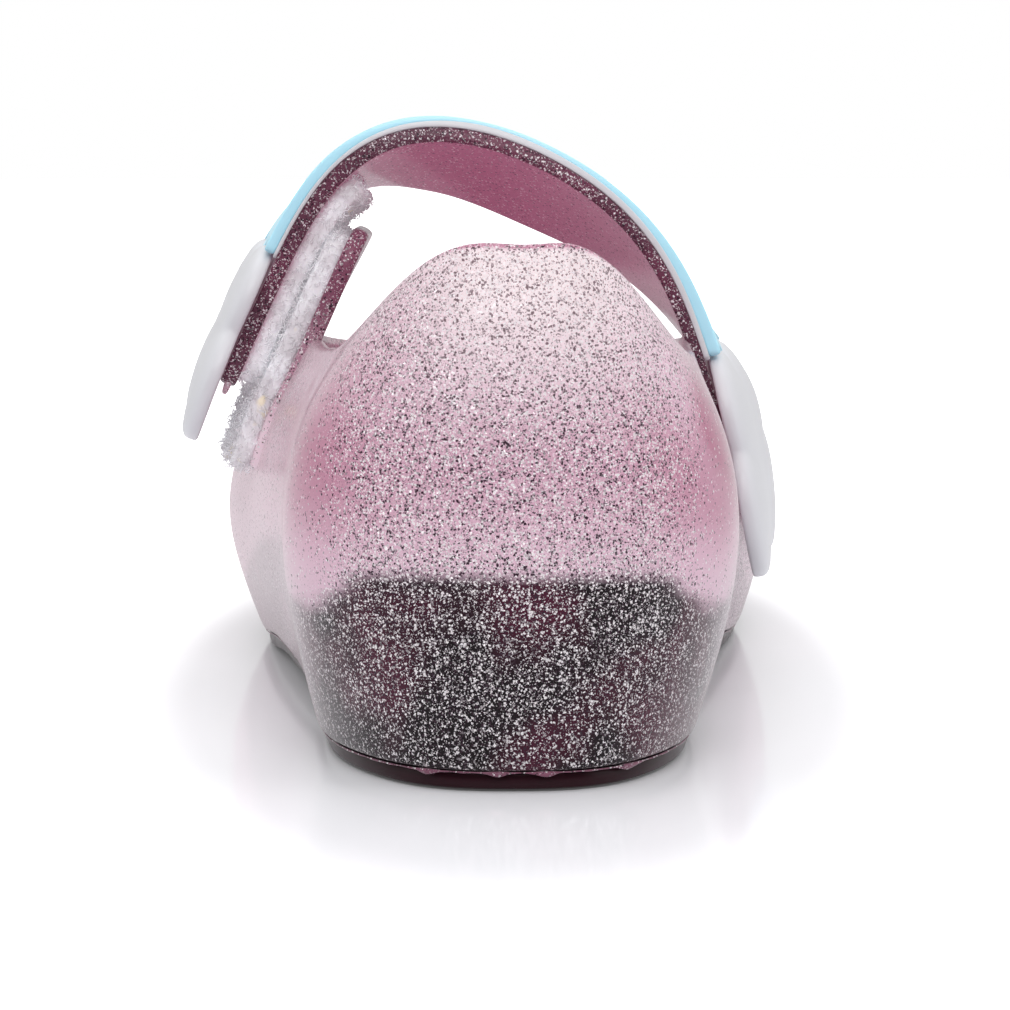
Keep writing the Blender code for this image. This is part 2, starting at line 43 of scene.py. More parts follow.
scene = bpy.context.scene
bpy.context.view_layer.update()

# Shoe sizes
LENGTH = 0.165
BALL_WIDTH = 0.068
HEEL_WIDTH = 0.0475
COUNTER_HEIGHT = 0.0524
QUARTER_HEIGHT = 0.0400
VAMP_HEIGHT = 0.0370
HEEL_SEAT = 0.020
WALL = 0.0020
GAP = 0.0003
SOLE_FIT = 0.0004
OUTSOLE_THICK = 0.0016
OUTSOLE_INSET = 0.0008
INSOLE_THICK = 0.0020
FOOTBED_HEEL = 0.0184
FOOTBED_BALL = 0.0050
WEDGE_SHARES = (0.16, 0.66)
ARCH_RISE = 0.0015
ARCH_UP_SHARES = (0.22, 0.38)
ARCH_DOWN_SHARES = (0.46, 0.60)
TOE_SPRING = 0.0050
SPRING_SHARE = 0.74
STRAP_RISE = 0.06365
STRAP_WIDTH = 0.0205
STRAP_THICK = 0.0018
STRAP_SHARE = 0.376
TAB_DROP = 0.01105
TAB_THICK = 0.0020
TAB_WIDTH = 0.0200
BAND_INSET = 0.0004
TAPE_THICK = 0.0016
TAPE_INSET = 0.0014
STRAP_CORNER = 0.0040
TAPE_CORNER = 0.0015
LATERAL_PLATE = 0.0236
MEDIAL_PLATE = 0.0262
PLATE_WIDTH = 0.0310
PLATE_EDGE = 0.0017
PLATE_CROWN = 0.0029
PLATE_MIDDLE = 0.45
PLATE_CLEARANCE = 0.0007
TOE_HOLE_WIDTH = 0.0240
TOE_HOLE_HEIGHT = 0.0100
TOE_HOLE_ABOVE = 0.0195
TOE_HOLE_ACROSS = 0.0015
PILE = 0.0003
SOLE_TOP = OUTSOLE_THICK + GAP
FOOTBED_TOP = GAP + INSOLE_THICK

HALF_WIDTH = {"heel": HEEL_WIDTH / 2, "ball": BALL_WIDTH / 2}
HEIGHT = {"counter": COUNTER_HEIGHT, "quarter": QUARTER_HEIGHT, "vamp": VAMP_HEIGHT,
          "strap": STRAP_RISE, "tab": STRAP_RISE - TAB_DROP}

# Upright sections of the last: width, height, then base (across, along) and belly, shoulder and
# rim (across, along, up), as shares of half the named width, LENGTH and the named height.
STATIONS = (
    ("heel", "counter", (0.00, -0.003), (0.00, 0.000, 0.46), (0.00, 0.010, 0.76), (0.05, 0.033, 1.00)),
    ("heel", "counter", (-0.47, 0.022), (-0.66, 0.030, 0.46), (-0.58, 0.036, 0.75), (-0.33, 0.044, 0.975)),
    ("heel", "counter", (-0.74, 0.091), (-0.92, 0.092, 0.46), (-0.83, 0.090, 0.68), (-0.61, 0.090, 0.850)),
    ("heel", "quarter", (-0.87, 0.215), (-1.01, 0.205, 0.58), (-0.93, 0.198, 0.84), (-0.79, 0.185, 1.025)),
    ("ball", "quarter", (-0.69, 0.340), (-0.81, 0.333, 0.54), (-0.74, 0.325, 0.80), (-0.62, 0.312, 1.000)),
    ("ball", "quarter", (-0.82, 0.485), (-0.94, 0.482, 0.48), (-0.84, 0.470, 0.76), (-0.67, 0.455, 0.990)),
    ("ball", "quarter", (-0.915, 0.625), (-1.04, 0.632, 0.42), (-0.90, 0.610, 0.74), (-0.60, 0.565, 0.960)),
    ("ball", "vamp", (-0.83, 0.800), (-0.96, 0.815, 0.38), (-0.78, 0.788, 0.765), (-0.395, 0.632, 1.010)),
    ("ball", "vamp", (-0.49, 0.925), (-0.58, 0.953, 0.36), (-0.46, 0.914, 0.755), (-0.18, 0.655, 1.003)),
    ("ball", "vamp", (0.09, 0.965), (0.09, 1.000, 0.36), (0.06, 0.955, 0.755), (0.01, 0.663, 1.00)),
    ("ball", "vamp", (0.60, 0.925), (0.69, 0.953, 0.36), (0.55, 0.914, 0.755), (0.19, 0.655, 1.003)),
    ("ball", "vamp", (0.84, 0.815), (0.94, 0.830, 0.38), (0.78, 0.798, 0.765), (0.39, 0.632, 1.010)),
    ("ball", "quarter", (0.87, 0.660), (0.970, 0.668, 0.42), (0.84, 0.630, 0.74), (0.58, 0.565, 0.960)),
    ("ball", "quarter", (0.73, 0.495), (0.83, 0.492, 0.46), (0.748, 0.480, 0.76), (0.615, 0.460, 0.985)),
    ("ball", "quarter", (0.60, 0.345), (0.72, 0.338, 0.52), (0.65, 0.330, 0.80), (0.57, 0.315, 1.000)),
    ("heel", "quarter", (0.82, 0.215), (0.99, 0.205, 0.58), (0.90, 0.198, 0.84), (0.79, 0.185, 1.020)),
    ("heel", "counter", (0.72, 0.091), (0.92, 0.092, 0.46), (0.83, 0.090, 0.68), (0.64, 0.090, 0.840)),
    ("heel", "counter", (0.47, 0.022), (0.66, 0.030, 0.46), (0.58, 0.036, 0.75), (0.39, 0.044, 0.972)),
)

# Rear edge of the strap's and the tab's outer face: name, across, height, up, pitch in degrees
STRAP_BENDS = (
    ("lateral_tip", -1.040, "quarter", 0.694, -5),
    ("lateral_end", -0.968, "quarter", 0.864, -5),
    ("lateral_hang", -0.841, "strap", 0.696, -5),
    ("lateral_shoulder", -0.720, "strap", 0.827, -3),
    ("lateral_rise", -0.560, "strap", 0.939, 6),
    ("crest_lateral", -0.390, "strap", 0.990, 14),
    ("crest", -0.200, "strap", 1.000, 18),
    ("crest_medial", 0.138, "strap", 0.944, 20),
    ("medial_rise", 0.391, "strap", 0.845, 15),
    ("medial_shoulder", 0.536, "strap", 0.737, 7),
    ("medial_fall", 0.621, "quarter", 0.999, -1),
    ("medial_root", 0.697, "quarter", 0.791, -8),
    ("medial_end", 0.746, "quarter", 0.624, -8),
    ("medial_tip", 0.806, "quarter", 0.306, -6),
)
TAB_BENDS = (
    ("tab_foot", -0.872, "quarter", 0.618, -7),
    ("tab_root", -0.827, "quarter", 0.740, -6),
    ("tab_middle", -0.732, "quarter", 0.914, -4),
    ("tab_neck", -0.640, "tab", 0.828, -2),
    ("tab_top", -0.520, "tab", 0.998, 0),
)

# End plate lobes: along and radius as shares of the plate's height, across of PLATE_WIDTH
PLATE_LOBES = (
    (0.32, -0.260, 0.315), (0.70, -0.190, 0.300), (0.72, 0.170, 0.280),
    (0.34, 0.270, 0.300), (0.50, 0.000, 0.420),
)

# Along the strap: share of its length, tops of the white backing and the blue band, strap's underside
BAND_HEIGHTS = (
    (0.00, 0.00038, 0.00160, -0.00180), (0.30, 0.00042, 0.00158, -0.00180),
    (0.45, 0.00080, 0.00135, -0.00175), (0.60, 0.00075, 0.00160, -0.00155),
    (0.75, 0.00065, 0.00200, -0.00140), (1.00, 0.00065, 0.00205, -0.00140),
)

# Nibs of flash under the heel: places across the shoe
FLASH_NIBS = (-0.0080, -0.0014, 0.0033, 0.0113)
FLASH_RADIUS = 0.00008

# Tread grooves: first groove's place as a share of LENGTH, and how many follow
TREAD_BLOCKS = ((0.045, 1), (0.185, 2), (0.520, 3), (0.740, 4))
GROOVE_DEPTH = 0.0007
GROOVE_WIDTH = 0.0018
GROOVE_PITCH = 0.0060
GROOVE_MARGIN = 0.0070


# Splines

def chord_knots(points):
    steps = np.linalg.norm(np.diff(points, axis=0), axis=1)
    return np.concatenate([[0.0], np.cumsum(steps)])


def cubic(knots, values, bends, at, wrap):
    piece = np.clip(np.searchsorted(knots, at, side="right") - 1, 0, len(knots) - 2)
    after = (piece + 1) % len(values) if wrap else piece + 1
    width = np.diff(knots)[piece][:, None]
    done = (at - knots[piece])[:, None]
    left = width - done
    curved = (bends[piece] * left ** 3 + bends[after] * done ** 3) / (6 * width)
    start = values[piece] / width - bends[piece] * width / 6
    end = values[after] / width - bends[after] * width / 6
    return curved + start * left + end * done


def closed_spline(knots, values, at):
    count = len(values)
    width = np.diff(knots)
    matrix = np.zeros((count, count))
    right = np.zeros(values.shape)
    for i in range(count):
        before, after = (i - 1) % count, (i + 1) % count
        matrix[i, before] += width[before]
        matrix[i, i] += 2 * (width[before] + width[i])
        matrix[i, after] += width[i]
        rise, fall = values[after] - values[i], values[i] - values[before]
        right[i] = 6 * (rise / width[i] - fall / width[before])
    return cubic(knots, values, np.linalg.solve(matrix, right), at, True)


def open_spline(knots, values, at):
    count = len(knots)
    width = np.diff(knots)
    matrix = np.eye(count)
    right = np.zeros(values.shape)
    for i in range(1, count - 1):
        matrix[i, i - 1:i + 2] = width[i - 1], 2 * (width[i - 1] + width[i]), width[i]
        rise, fall = values[i + 1] - values[i], values[i] - values[i - 1]
        right[i] = 6 * (rise / width[i] - fall / width[i - 1])
    return cubic(knots, values, np.linalg.solve(matrix, right), at, False)


def ease(low, high, value):
    share = np.clip((value - low) / (high - low), 0.0, 1.0)
    return share * share * (3 - 2 * share)


# Form of the last

def tread(y):
    share = (y + HEEL_SEAT) / LENGTH
    arch = ARCH_RISE * ease(*ARCH_UP_SHARES, share) * (1 - ease(*ARCH_DOWN_SHARES, share))
    spring = TOE_SPRING * np.clip((share - SPRING_SHARE) / (1 - SPRING_SHARE), 0.0, None) ** 2
    return arch + spring


def footbed(y):
    share = (y + HEEL_SEAT) / LENGTH
    return FOOTBED_HEEL + (FOOTBED_BALL - FOOTBED_HEEL) * ease(*WEDGE_SHARES, share) + tread(y)


def last_form(columns, shares):
    """Outer face of the shell: columns round the foot from the heel's back, shares of the way up."""
    rows = []
    for width, height, base, *higher in STATIONS:
        half, tall = HALF_WIDTH[width], HEIGHT[height]
        row = [(base[0] * half, base[1] * LENGTH, SOLE_TOP)]
        row += [(across * half, along * LENGTH, up * tall) for across, along, up in higher]
        rows.append(row)
    sections = np.array(rows)
    knots = chord_knots(np.vstack([sections[:, 1, :2], sections[:1, 1, :2]]))
    at = np.arange(columns) * knots[-1] / columns
    levels = closed_spline(knots, sections.reshape(len(sections), -1), at).reshape(columns, -1, 3)
    grid = np.zeros((columns, len(shares), 3))
    for column, points in enumerate(levels):
        height = chord_knots(points)
        grid[column] = open_spline(height, points, np.asarray(shares) * height[-1])
    grid[..., 1] -= HEEL_SEAT
    grid[..., 2] += tread(grid[..., 1]) * (1 - grid[..., 2] / COUNTER_HEIGHT)
    return grid


def outward_normals(grid):
    around = np.roll(grid, -1, axis=0) - np.roll(grid, 1, axis=0)
    normals = np.cross(np.gradient(grid, axis=1), around)
    return normals / np.linalg.norm(normals, axis=2, keepdims=True)


FINE_COLUMNS, FINE_ROWS = 960, 200
WALL_STEPS = 160
LAST = last_form(FINE_COLUMNS, np.linspace(0, 1, FINE_ROWS))
LAST_NORMALS = outward_normals(LAST)


def on_last(grid, around, up):
    """Reads a fine grid at shares round (0 to 1, wrapping) and up (0 to 1)."""
    column = np.mod(around, 1.0) * FINE_COLUMNS
    row = np.clip(up, 0.0, 1.0) * (FINE_ROWS - 1)
    i = np.floor(column).astype(int) % FINE_COLUMNS
    j = np.minimum(np.floor(row).astype(int), FINE_ROWS - 2)
    s, t = (column - np.floor(column))[..., None], (row - j)[..., None]
    i2 = (i + 1) % FINE_COLUMNS
    low = grid[i, j] * (1 - s) + grid[i2, j] * s
    high = grid[i, j + 1] * (1 - s) + grid[i2, j + 1] * s
    return low * (1 - t) + high * t


def ring_inside(count, depth, up_from_wedge):
    """Ring on the shell's face sunk by depth, where it meets the footbed's surface lifted by a height."""
    def height(y):
        return footbed(y) + up_from_wedge

    around = np.arange(count) / count
    up = np.linspace(0, 1, WALL_STEPS)
    grid_around, grid_up = np.meshgrid(around, up, indexing="ij")
    wall = on_last(LAST, grid_around, grid_up) - depth * on_last(LAST_NORMALS, grid_around, grid_up)
    ring = np.zeros((count, 3))
    for column, points in enumerate(wall):
        above = points[:, 2] - height(points[:, 1])
        ring[column] = [np.interp(0.0, above, points[:, axis]) for axis in range(3)]
        ring[column, 2] = height(ring[column, 1])
    return ring


# Meshes

PLAIN_TONE = (0.0, 0.0, 0.0, 1.0)


class Solid:
    """Collects points and faces of one piece, and each point's core, depth, pallor and flakes."""

    def __init__(self):
        self.points, self.faces, self.tones = [], [], []

    def add(self, points, tone):
        start = len(self.points)
        tone = tone(np.asarray(points)) if callable(tone) else tone
        self.points += [tuple(point) for point in points]
        self.tones += [tuple(row) for row in np.broadcast_to(tone, (len(points), 4))]
        return start

    def add_ring(self, points, tone):
        start = self.add(points, tone)
        return list(range(start, start + len(points)))

    def object(self, name, smooth=True):
        mesh = bpy.data.meshes.new(name)
        mesh.from_pydata(self.points, [], self.faces)
        tone = mesh.attributes.new("tone", "FLOAT_COLOR", "POINT")
        tone.data.foreach_set("color", np.array(self.tones, dtype=np.float32).ravel())
        if smooth:
            mesh.shade_smooth()
        made = bpy.data.objects.new(name, mesh)
        scene.collection.objects.link(made)
        return made


def bake_modifiers(made):
    graph = bpy.context.evaluated_depsgraph_get()
    mesh = bpy.data.meshes.new_from_object(made.evaluated_get(graph))
    made.modifiers.clear()
    made.data = mesh


def finish(made, slot, material, *replaced):
    """Applies the modifiers, sets the material and ties the piece to the frame."""
    if made.modifiers:
        bake_modifiers(made)
    made.data.materials.clear()
    made.data.materials.append(material)
    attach(made, "root")
    if replaced:
        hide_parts(*replaced)


def subdivide(made):
    modifier = made.modifiers.new("smooth", "SUBSURF")
    modifier.levels = modifier.render_levels = 1


def bridge(solid, low, high):
    """Quads between two closed rings of point numbers."""
    count = len(low)
    for i in range(count):
        after = (i + 1) % count
        solid.faces.append((low[i], low[after], high[after], high[i]))


def add_spindle(solid, rings, tone, flip=False):
    """Closed solid through rings of points, capped at both ends; flip turns its faces round."""
    last = None
    for ring in rings:
        here = solid.add_ring(ring, tone)
        if last:
            bridge(solid, *((here, last) if flip else (last, here)))
        else:
            solid.faces.append(tuple(here if flip else reversed(here)))
        last = here
    solid.faces.append(tuple(reversed(last) if flip else last))


# Glitter shell

SHELL_COLUMNS = 208
SHELL_ROWS = 35
RIM_ARC = 6
SEAT_RIM = 0.0004
HOLE_RIM = 0.0009
HOLE_BLOCK = (5, 2)
HOLE_REACH = 3.2
TOE_REGION = 0.035
FAR_AWAY = 9.0


def toe_hole_places(around, up):
    """Moves the grid's places round the toe hole so that one ring of them follows its outline."""
    target = np.array([TOE_HOLE_ACROSS, TOE_HOLE_ABOVE])
    half = np.array([TOE_HOLE_WIDTH, TOE_HOLE_HEIGHT]) / 2 + HOLE_RIM

    def seen_from_toe(a, u):
        return on_last(LAST, a, u)[..., [0, 2]]

    offset = (seen_from_toe(around, up) - target) / half
    distance = np.linalg.norm(offset, axis=2)
    front = on_last(LAST, around, up)[..., 1] > LENGTH - HEEL_SEAT - TOE_REGION
    near = np.unravel_index(np.argmin(np.where(front, distance, FAR_AWAY)), distance.shape)
    columns = np.abs(np.arange(len(around)) - near[0])[:, None]
    rows = np.abs(np.arange(around.shape[1]) - near[1])[None, :]
    reach = np.maximum(columns / HOLE_BLOCK[0], rows / HOLE_BLOCK[1])
    moved = (reach >= 1.0) & (reach < HOLE_REACH)
    share, distance = ease(1.0, HOLE_REACH, reach)[..., None], distance[..., None]
    goal = (target + half * offset / distance * (1 - share + share * distance))[moved]
    a, u = around[moved], up[moved]
    step, least = 1e-3, 1e-6
    for _ in range(25):
        here = seen_from_toe(a, u)
        by_a = (seen_from_toe(a + step, u) - here) / step
        by_u = (seen_from_toe(a, u + step) - here) / step
        miss = goal - here
        det = by_a[:, 0] * by_u[:, 1] - by_a[:, 1] * by_u[:, 0]
        det = np.where(np.abs(det) < least, least, det)
        move_a = (miss[:, 0] * by_u[:, 1] - miss[:, 1] * by_u[:, 0]) / det
        move_u = (by_a[:, 0] * miss[:, 1] - by_a[:, 1] * miss[:, 0]) / det
        a += np.clip(move_a, -0.004, 0.004)
        u = np.clip(u + np.clip(move_u, -0.03, 0.03), 0.02, 0.98)
    around[moved], up[moved] = a, u
    return near


# Looks of the jelly over the shell, mostly painted light and shade over one pink: a pair is where a fade
# starts and ends, or a hump's middle and width, in metres; a single number is how strong it is.
FOAM_EDGE = (-0.0009, 0.0007)
FOAM_DROOP, DROOP_ACROSS, DROOP_ALONG = 0.0045, (0.0135, 0.0205), (0.0, 0.020)
# Painted light: the dark foam shows less towards the heel's sides
FOAM_SIDE_LIGHT, SIDE_LIGHT_ACROSS = 0.6, (0.0185, 0.0250)
# The jelly's own pink; the belt, cheeks and shoulders deepen it as painted shade
CLEAR_DEPTH, BELT_DEPTH, BELT_UP = 0.14, 0.36, (0.031, 0.0085)
CHEEK_DEPTH, CHEEK_ACROSS, CHEEK_UP, CHEEK_START = 0.36, (0.008, 0.020), (0.033, 0.0125), (0.019, 0.026)
TOP_MIDDLE = 0.002
SHOULDER_DEPTH, SHOULDER_ACROSS, SHOULDER_UP, SHOULDER_END = 0.26, (0.004, 0.014), (0.034, 0.045), 0.010
# Painted highlight: a slanting pale streak down the heel's back
STREAK_HIGHLIGHT, STREAK_PLACE, STREAK_SLOPE, STREAK_TOP = 0.6, (0.0140, 0.0023), 0.53, 0.042
# Painted shade: deeper pink on the heel's medial side
MEDIAL_SHADE_DEPTH, MEDIAL_SHADE_ACROSS, MEDIAL_SHADE_UP, MEDIAL_SHADE_END = 0.55, (0.0197, 0.0020), (0.0355, 0.0045), 0.006
# Painted sheen on the lateral flank: paler, less deep pink and fewer flakes
FLANK_SHEEN_FADE, FLANK_ACROSS, FLANK_UP = 0.85, (0.0235, 0.0290), (0.030, 0.041)
# Painted shade: deep pink on the medial quarter, with no highlight and fewer flakes
WEDGE_DEPTH, WEDGE_ACROSS, WEDGE_UP = 0.6, (0.0170, 0.0200), (0.018, 0.029)
WEDGE_START, WEDGE_END = (-0.013, -0.004), (0.012, 0.060)
DEEPEST = 1.1
# Painted highlight, paler towards the heel's top and narrower away from its middle; painted sheen on the flank
HIGHLIGHT_UP, HIGHLIGHT_NARROW, HIGHLIGHT_ACROSS, FLANK_SHEEN = (0.031, 0.050), 0.78, (0.004, 0.016), 0.5
# Fewer flakes show at the heel's sides and on the flank, under the painted sheen; fewer too over the foam and
# low down
FLAKES_ACROSS, FLAKES_ALONG = (0.0130, 0.0205), (0.012, 0.050)
SIDE_FLAKES, CORE_SIDE_FLAKES, FLANK_FLAKES, CORE_FLAKES = 0.85, 0.55, 0.75, 0.15
LOW_FLAKES, LOW_UP = 0.74, (0.003, 0.013)
RIM_TONE = (0.0, 0.85, 0.0, 0.6)
HOLE_TONE = (0.0, 0.5, 0.2, 0.6)


def hump(middle, width, value):
    return np.exp(-((value - middle) / width) ** 2)


def wall_tone(points):
    """How the jelly looks from outside: core, depth of colour, pallor, and how many flakes show.

    Core is 1 over the dark foam, 0 over nothing and -1 where a painted glow of light shows through. Depth and
    pallor are painted light and shade over one pink: deeper pink is painted shade, pallor is painted highlight
    and sheen.
    """
    x, y, z = points[:, 0], points[:, 1], points[:, 2]
    aside, off_middle = np.abs(x), np.abs(x - TOP_MIDDLE)
    foam_top = footbed(y) + FOOTBED_TOP - FOAM_DROOP * ease(*DROOP_ACROSS, aside) * (1 - ease(*DROOP_ALONG, y))
    core = (1 - ease(*FOAM_EDGE, z - foam_top)) * (1 - FOAM_SIDE_LIGHT * ease(*SIDE_LIGHT_ACROSS, aside))
    flank = ease(*FLANK_ACROSS, -x) * (1 - ease(*FLANK_UP, z))
    wedge = ease(*WEDGE_ACROSS, x) * ease(*WEDGE_START, y) * (1 - ease(*WEDGE_END, y)) * ease(*WEDGE_UP, z)
    depth = CLEAR_DEPTH + BELT_DEPTH * hump(*BELT_UP, z)
    depth += CHEEK_DEPTH * ease(*CHEEK_ACROSS, aside) * hump(*CHEEK_UP, z) * ease(*CHEEK_START, z)
    depth += SHOULDER_DEPTH * ease(*SHOULDER_ACROSS, off_middle) * ease(*SHOULDER_UP, z) * (y < SHOULDER_END)
    depth *= 1 - STREAK_HIGHLIGHT * hump(*STREAK_PLACE, x - STREAK_SLOPE * (STREAK_TOP - z)) * (y < 0)
    depth += MEDIAL_SHADE_DEPTH * hump(*MEDIAL_SHADE_ACROSS, x) * hump(*MEDIAL_SHADE_UP, z) * (y < MEDIAL_SHADE_END)
    depth = np.clip(depth * (1 - FLANK_SHEEN_FADE * flank) + WEDGE_DEPTH * wedge, 0.0, DEEPEST)
    pale = ease(*HIGHLIGHT_UP, z) * (1 - HIGHLIGHT_NARROW * ease(*HIGHLIGHT_ACROSS, off_middle))
    pale = pale * (1 - wedge) + (1 - pale) * FLANK_SHEEN * flank
    sides = ease(*FLAKES_ACROSS, aside) * (1 - ease(*FLAKES_ALONG, y))
    flakes = (1 - FLANK_FLAKES * np.maximum(flank, WEDGE_DEPTH * wedge)) * (1 - CORE_FLAKES * core)
    flakes *= 1 - (SIDE_FLAKES - CORE_SIDE_FLAKES * core) * sides
    flakes *= LOW_FLAKES + (1 - LOW_FLAKES) * ease(*LOW_UP, z)
    return np.stack([core, depth, pale, flakes], axis=1)


# Inside of the wall: even deep pink, a fifth of the outside's painted highlight and fewer flakes
def inner_wall_tone(points):
    _, _, pale, flakes = wall_tone(points).T
    level = np.ones(len(points))
    return np.stack([0.0 * level, 0.7 * level, 0.2 * pale, 0.4 * flakes], axis=1)


def add_shell(solid):
    columns = SHELL_COLUMNS
    total = np.linalg.norm(np.diff(LAST, axis=1), axis=2).sum(axis=1)
    around = np.arange(columns) / columns
    tall = np.interp(around, np.arange(FINE_COLUMNS) / FINE_COLUMNS, total)
    low = (SEAT_RIM / tall)[:, None]
    high = 1 - (WALL / 2 / tall)[:, None]
    up = low + (high - low) * np.linspace(0, 1, SHELL_ROWS)[None, :]
    around = np.repeat(around[:, None], SHELL_ROWS, axis=1)
    near = toe_hole_places(around, up)
    outer = on_last(LAST, around, up)
    normals = on_last(LAST_NORMALS, around, up)
    normals /= np.linalg.norm(normals, axis=2, keepdims=True)
    inner = outer - WALL * normals
    rim_start, inner_start, seat_start = SHELL_ROWS, SHELL_ROWS + RIM_ARC, 2 * SHELL_ROWS + RIM_ARC
    slots = seat_start + RIM_ARC
    grid = np.zeros((columns, slots, 3))
    grid[:, :rim_start] = outer
    grid[:, inner_start:seat_start] = inner[:, ::-1]
    for start, row, below, bulge, sign in ((rim_start, -1, -2, WALL / 2, 1), (seat_start, 0, 1, SEAT_RIM, -1)):
        middle = (outer[:, row] + inner[:, row]) / 2
        rise = outer[:, row] - outer[:, below]
        rise /= np.linalg.norm(rise, axis=1, keepdims=True)
        for k in range(RIM_ARC):
            angle = math.pi * (k + 1) / (RIM_ARC + 1)
            swing = math.cos(angle) * sign
            grid[:, start + k] = middle + WALL / 2 * swing * normals[:, row] + bulge * math.sin(angle) * rise
    points = grid.reshape(-1, 3)
    tone = wall_tone(points)
    slot = np.tile(np.arange(slots), columns)
    is_inner = (slot >= inner_start) & (slot < seat_start)
    tone[is_inner] = inner_wall_tone(points[is_inner])
    tone[(slot >= rim_start) & (slot < inner_start)] = RIM_TONE
    start = solid.add(points, tone)

    def number(column, slot_number):
        return start + (column % columns) * slots + slot_number % slots

    def in_hole(column, row):
        return (abs(column + 0.5 - near[0]) < HOLE_BLOCK[0]) and (abs(row + 0.5 - near[1]) < HOLE_BLOCK[1])

    mirror = seat_start - 1
    for i in range(columns):
        for j in range(slots):
            inner_row = mirror - j - 1
            if j < rim_start - 1 and in_hole(i, j) or inner_start <= j < mirror and in_hole(i, inner_row):
                continue
            solid.faces.append((number(i, j), number(i, j + 1), number(i + 1, j + 1), number(i + 1, j)))

    (c, r), (wide, deep) = near, HOLE_BLOCK
    outline = [(c + k, r - deep) for k in range(-wide, wide)]
    outline += [(c + wide, r + k) for k in range(-deep, deep)]
    outline += [(c + k, r + deep) for k in range(wide, -wide, -1)]
    outline += [(c - wide, r + k) for k in range(deep, -deep, -1)]
    outer_ring = [number(column, row) for column, row in outline]
    inner_ring = [number(column, mirror - row) for column, row in outline]
    outer_points = np.array([solid.points[n] for n in outer_ring])
    inner_points = np.array([solid.points[n] for n in inner_ring])
    across = outer_points - inner_points
    across /= np.linalg.norm(across, axis=1, keepdims=True)
    toward = outer_points.mean(axis=0) - outer_points
    toward -= (toward * across).sum(axis=1, keepdims=True) * across
    toward /= np.linalg.norm(toward, axis=1, keepdims=True)
    last = outer_ring
    for k in range(RIM_ARC):
        angle = math.pi * (k + 1) / (RIM_ARC + 1)
        points = (outer_points + inner_points) / 2 + WALL / 2 * math.cos(angle) * across
        here = solid.add_ring(points + HOLE_RIM * math.sin(angle) * toward, HOLE_TONE)
        bridge(solid, here, last)
        last = here
    bridge(solid, inner_ring, last)


# Strap, tab and bands

Spine = namedtuple("Spine", "reach points outward pitch marks")
SPINE_STEPS = 600


def spine(bends):
    half = BALL_WIDTH / 2
    rows = np.array([(across * half, up * HEIGHT[height]) for _, across, height, up, _ in bends])
    knots = chord_knots(rows)
    fine = np.linspace(0, knots[-1], SPINE_STEPS)
    points = open_spline(knots, rows, fine)
    slope = np.gradient(points, axis=0)
    slope /= np.linalg.norm(slope, axis=1, keepdims=True)
    outward = np.stack([-slope[:, 1], slope[:, 0]], axis=1)
    pitch = open_spline(knots, np.array([[float(bend[4])] for bend in bends]), fine)[:, 0]
    marks = {bend[0]: knots[i] for i, bend in enumerate(bends)}
    return Spine(fine, points, outward, np.radians(pitch), marks)


STRAP = spine(STRAP_BENDS)
TAB = spine(TAB_BENDS)


def strap_face(line, reach, across):
    x, z = (np.interp(reach, line.reach, line.points[:, axis]) for axis in range(2))
    out_x, out_z = (np.interp(reach, line.reach, line.outward[:, axis]) for axis in range(2))
    pitch = np.interp(reach, line.reach, line.pitch)
    lean = -across * np.sin(pitch)
    y = STRAP_SHARE * LENGTH - HEEL_SEAT + across * np.cos(pitch)
    return np.stack([x + lean * out_x, y, z + lean * out_z], axis=-1)


def on_strap(line, reach, across, height):
    step = 0.0007
    along = strap_face(line, reach + step, across) - strap_face(line, reach - step, across)
    over = strap_face(line, reach, across + step) - strap_face(line, reach, across - step)
    normal = np.cross(along, over)
    normal /= np.linalg.norm(normal, axis=-1, keepdims=True)
    return strap_face(line, reach, across) + np.asarray(height)[..., None] * normal


def rounded_end(end, way, rear, front, corner):
    def reach(across, inset):
        centre = (rear + front) / 2
        flat = (front - rear) / 2 - corner
        radius = max(corner - inset, 1e-5)
        share = np.clip((np.abs(across - centre) - flat) / radius, 0.0, 1.0)
        return end + way * (inset + radius * (1 - np.sqrt(1 - share ** 2)))
    return reach


def end_at_plate(foot, tall, way):
    def reach(across, inset):
        top = np.zeros(np.shape(across))
        for along, aside, radius in PLATE_LOBES:
            off = across - STRAP_WIDTH / 2 - aside * PLATE_WIDTH
            chord = (radius * tall + PLATE_CLEARANCE) ** 2 - off ** 2
            top = np.maximum(top, along * tall + np.sqrt(np.clip(chord, 0, None)))
        return foot + way * (top + inset)
    return reach


def along_band(table, column):
    """Reads a column of a table of shares along the strap's length."""
    shares = [row[0] * STRAP.reach[-1] for row in table]
    return lambda reach: np.interp(reach, shares, [row[column] for row in table])


# A band's rounded edge, from its top to its underside: shares of the rounding and of the thickness
EDGE_PROFILE = ((1.0, 1.0), (0.62, 0.985), (0.29, 0.91), (0.09, 0.78), (0.0, 0.6),
                (0.0, 0.4), (0.09, 0.22), (0.29, 0.09), (0.62, 0.015), (1.0, 0.0))


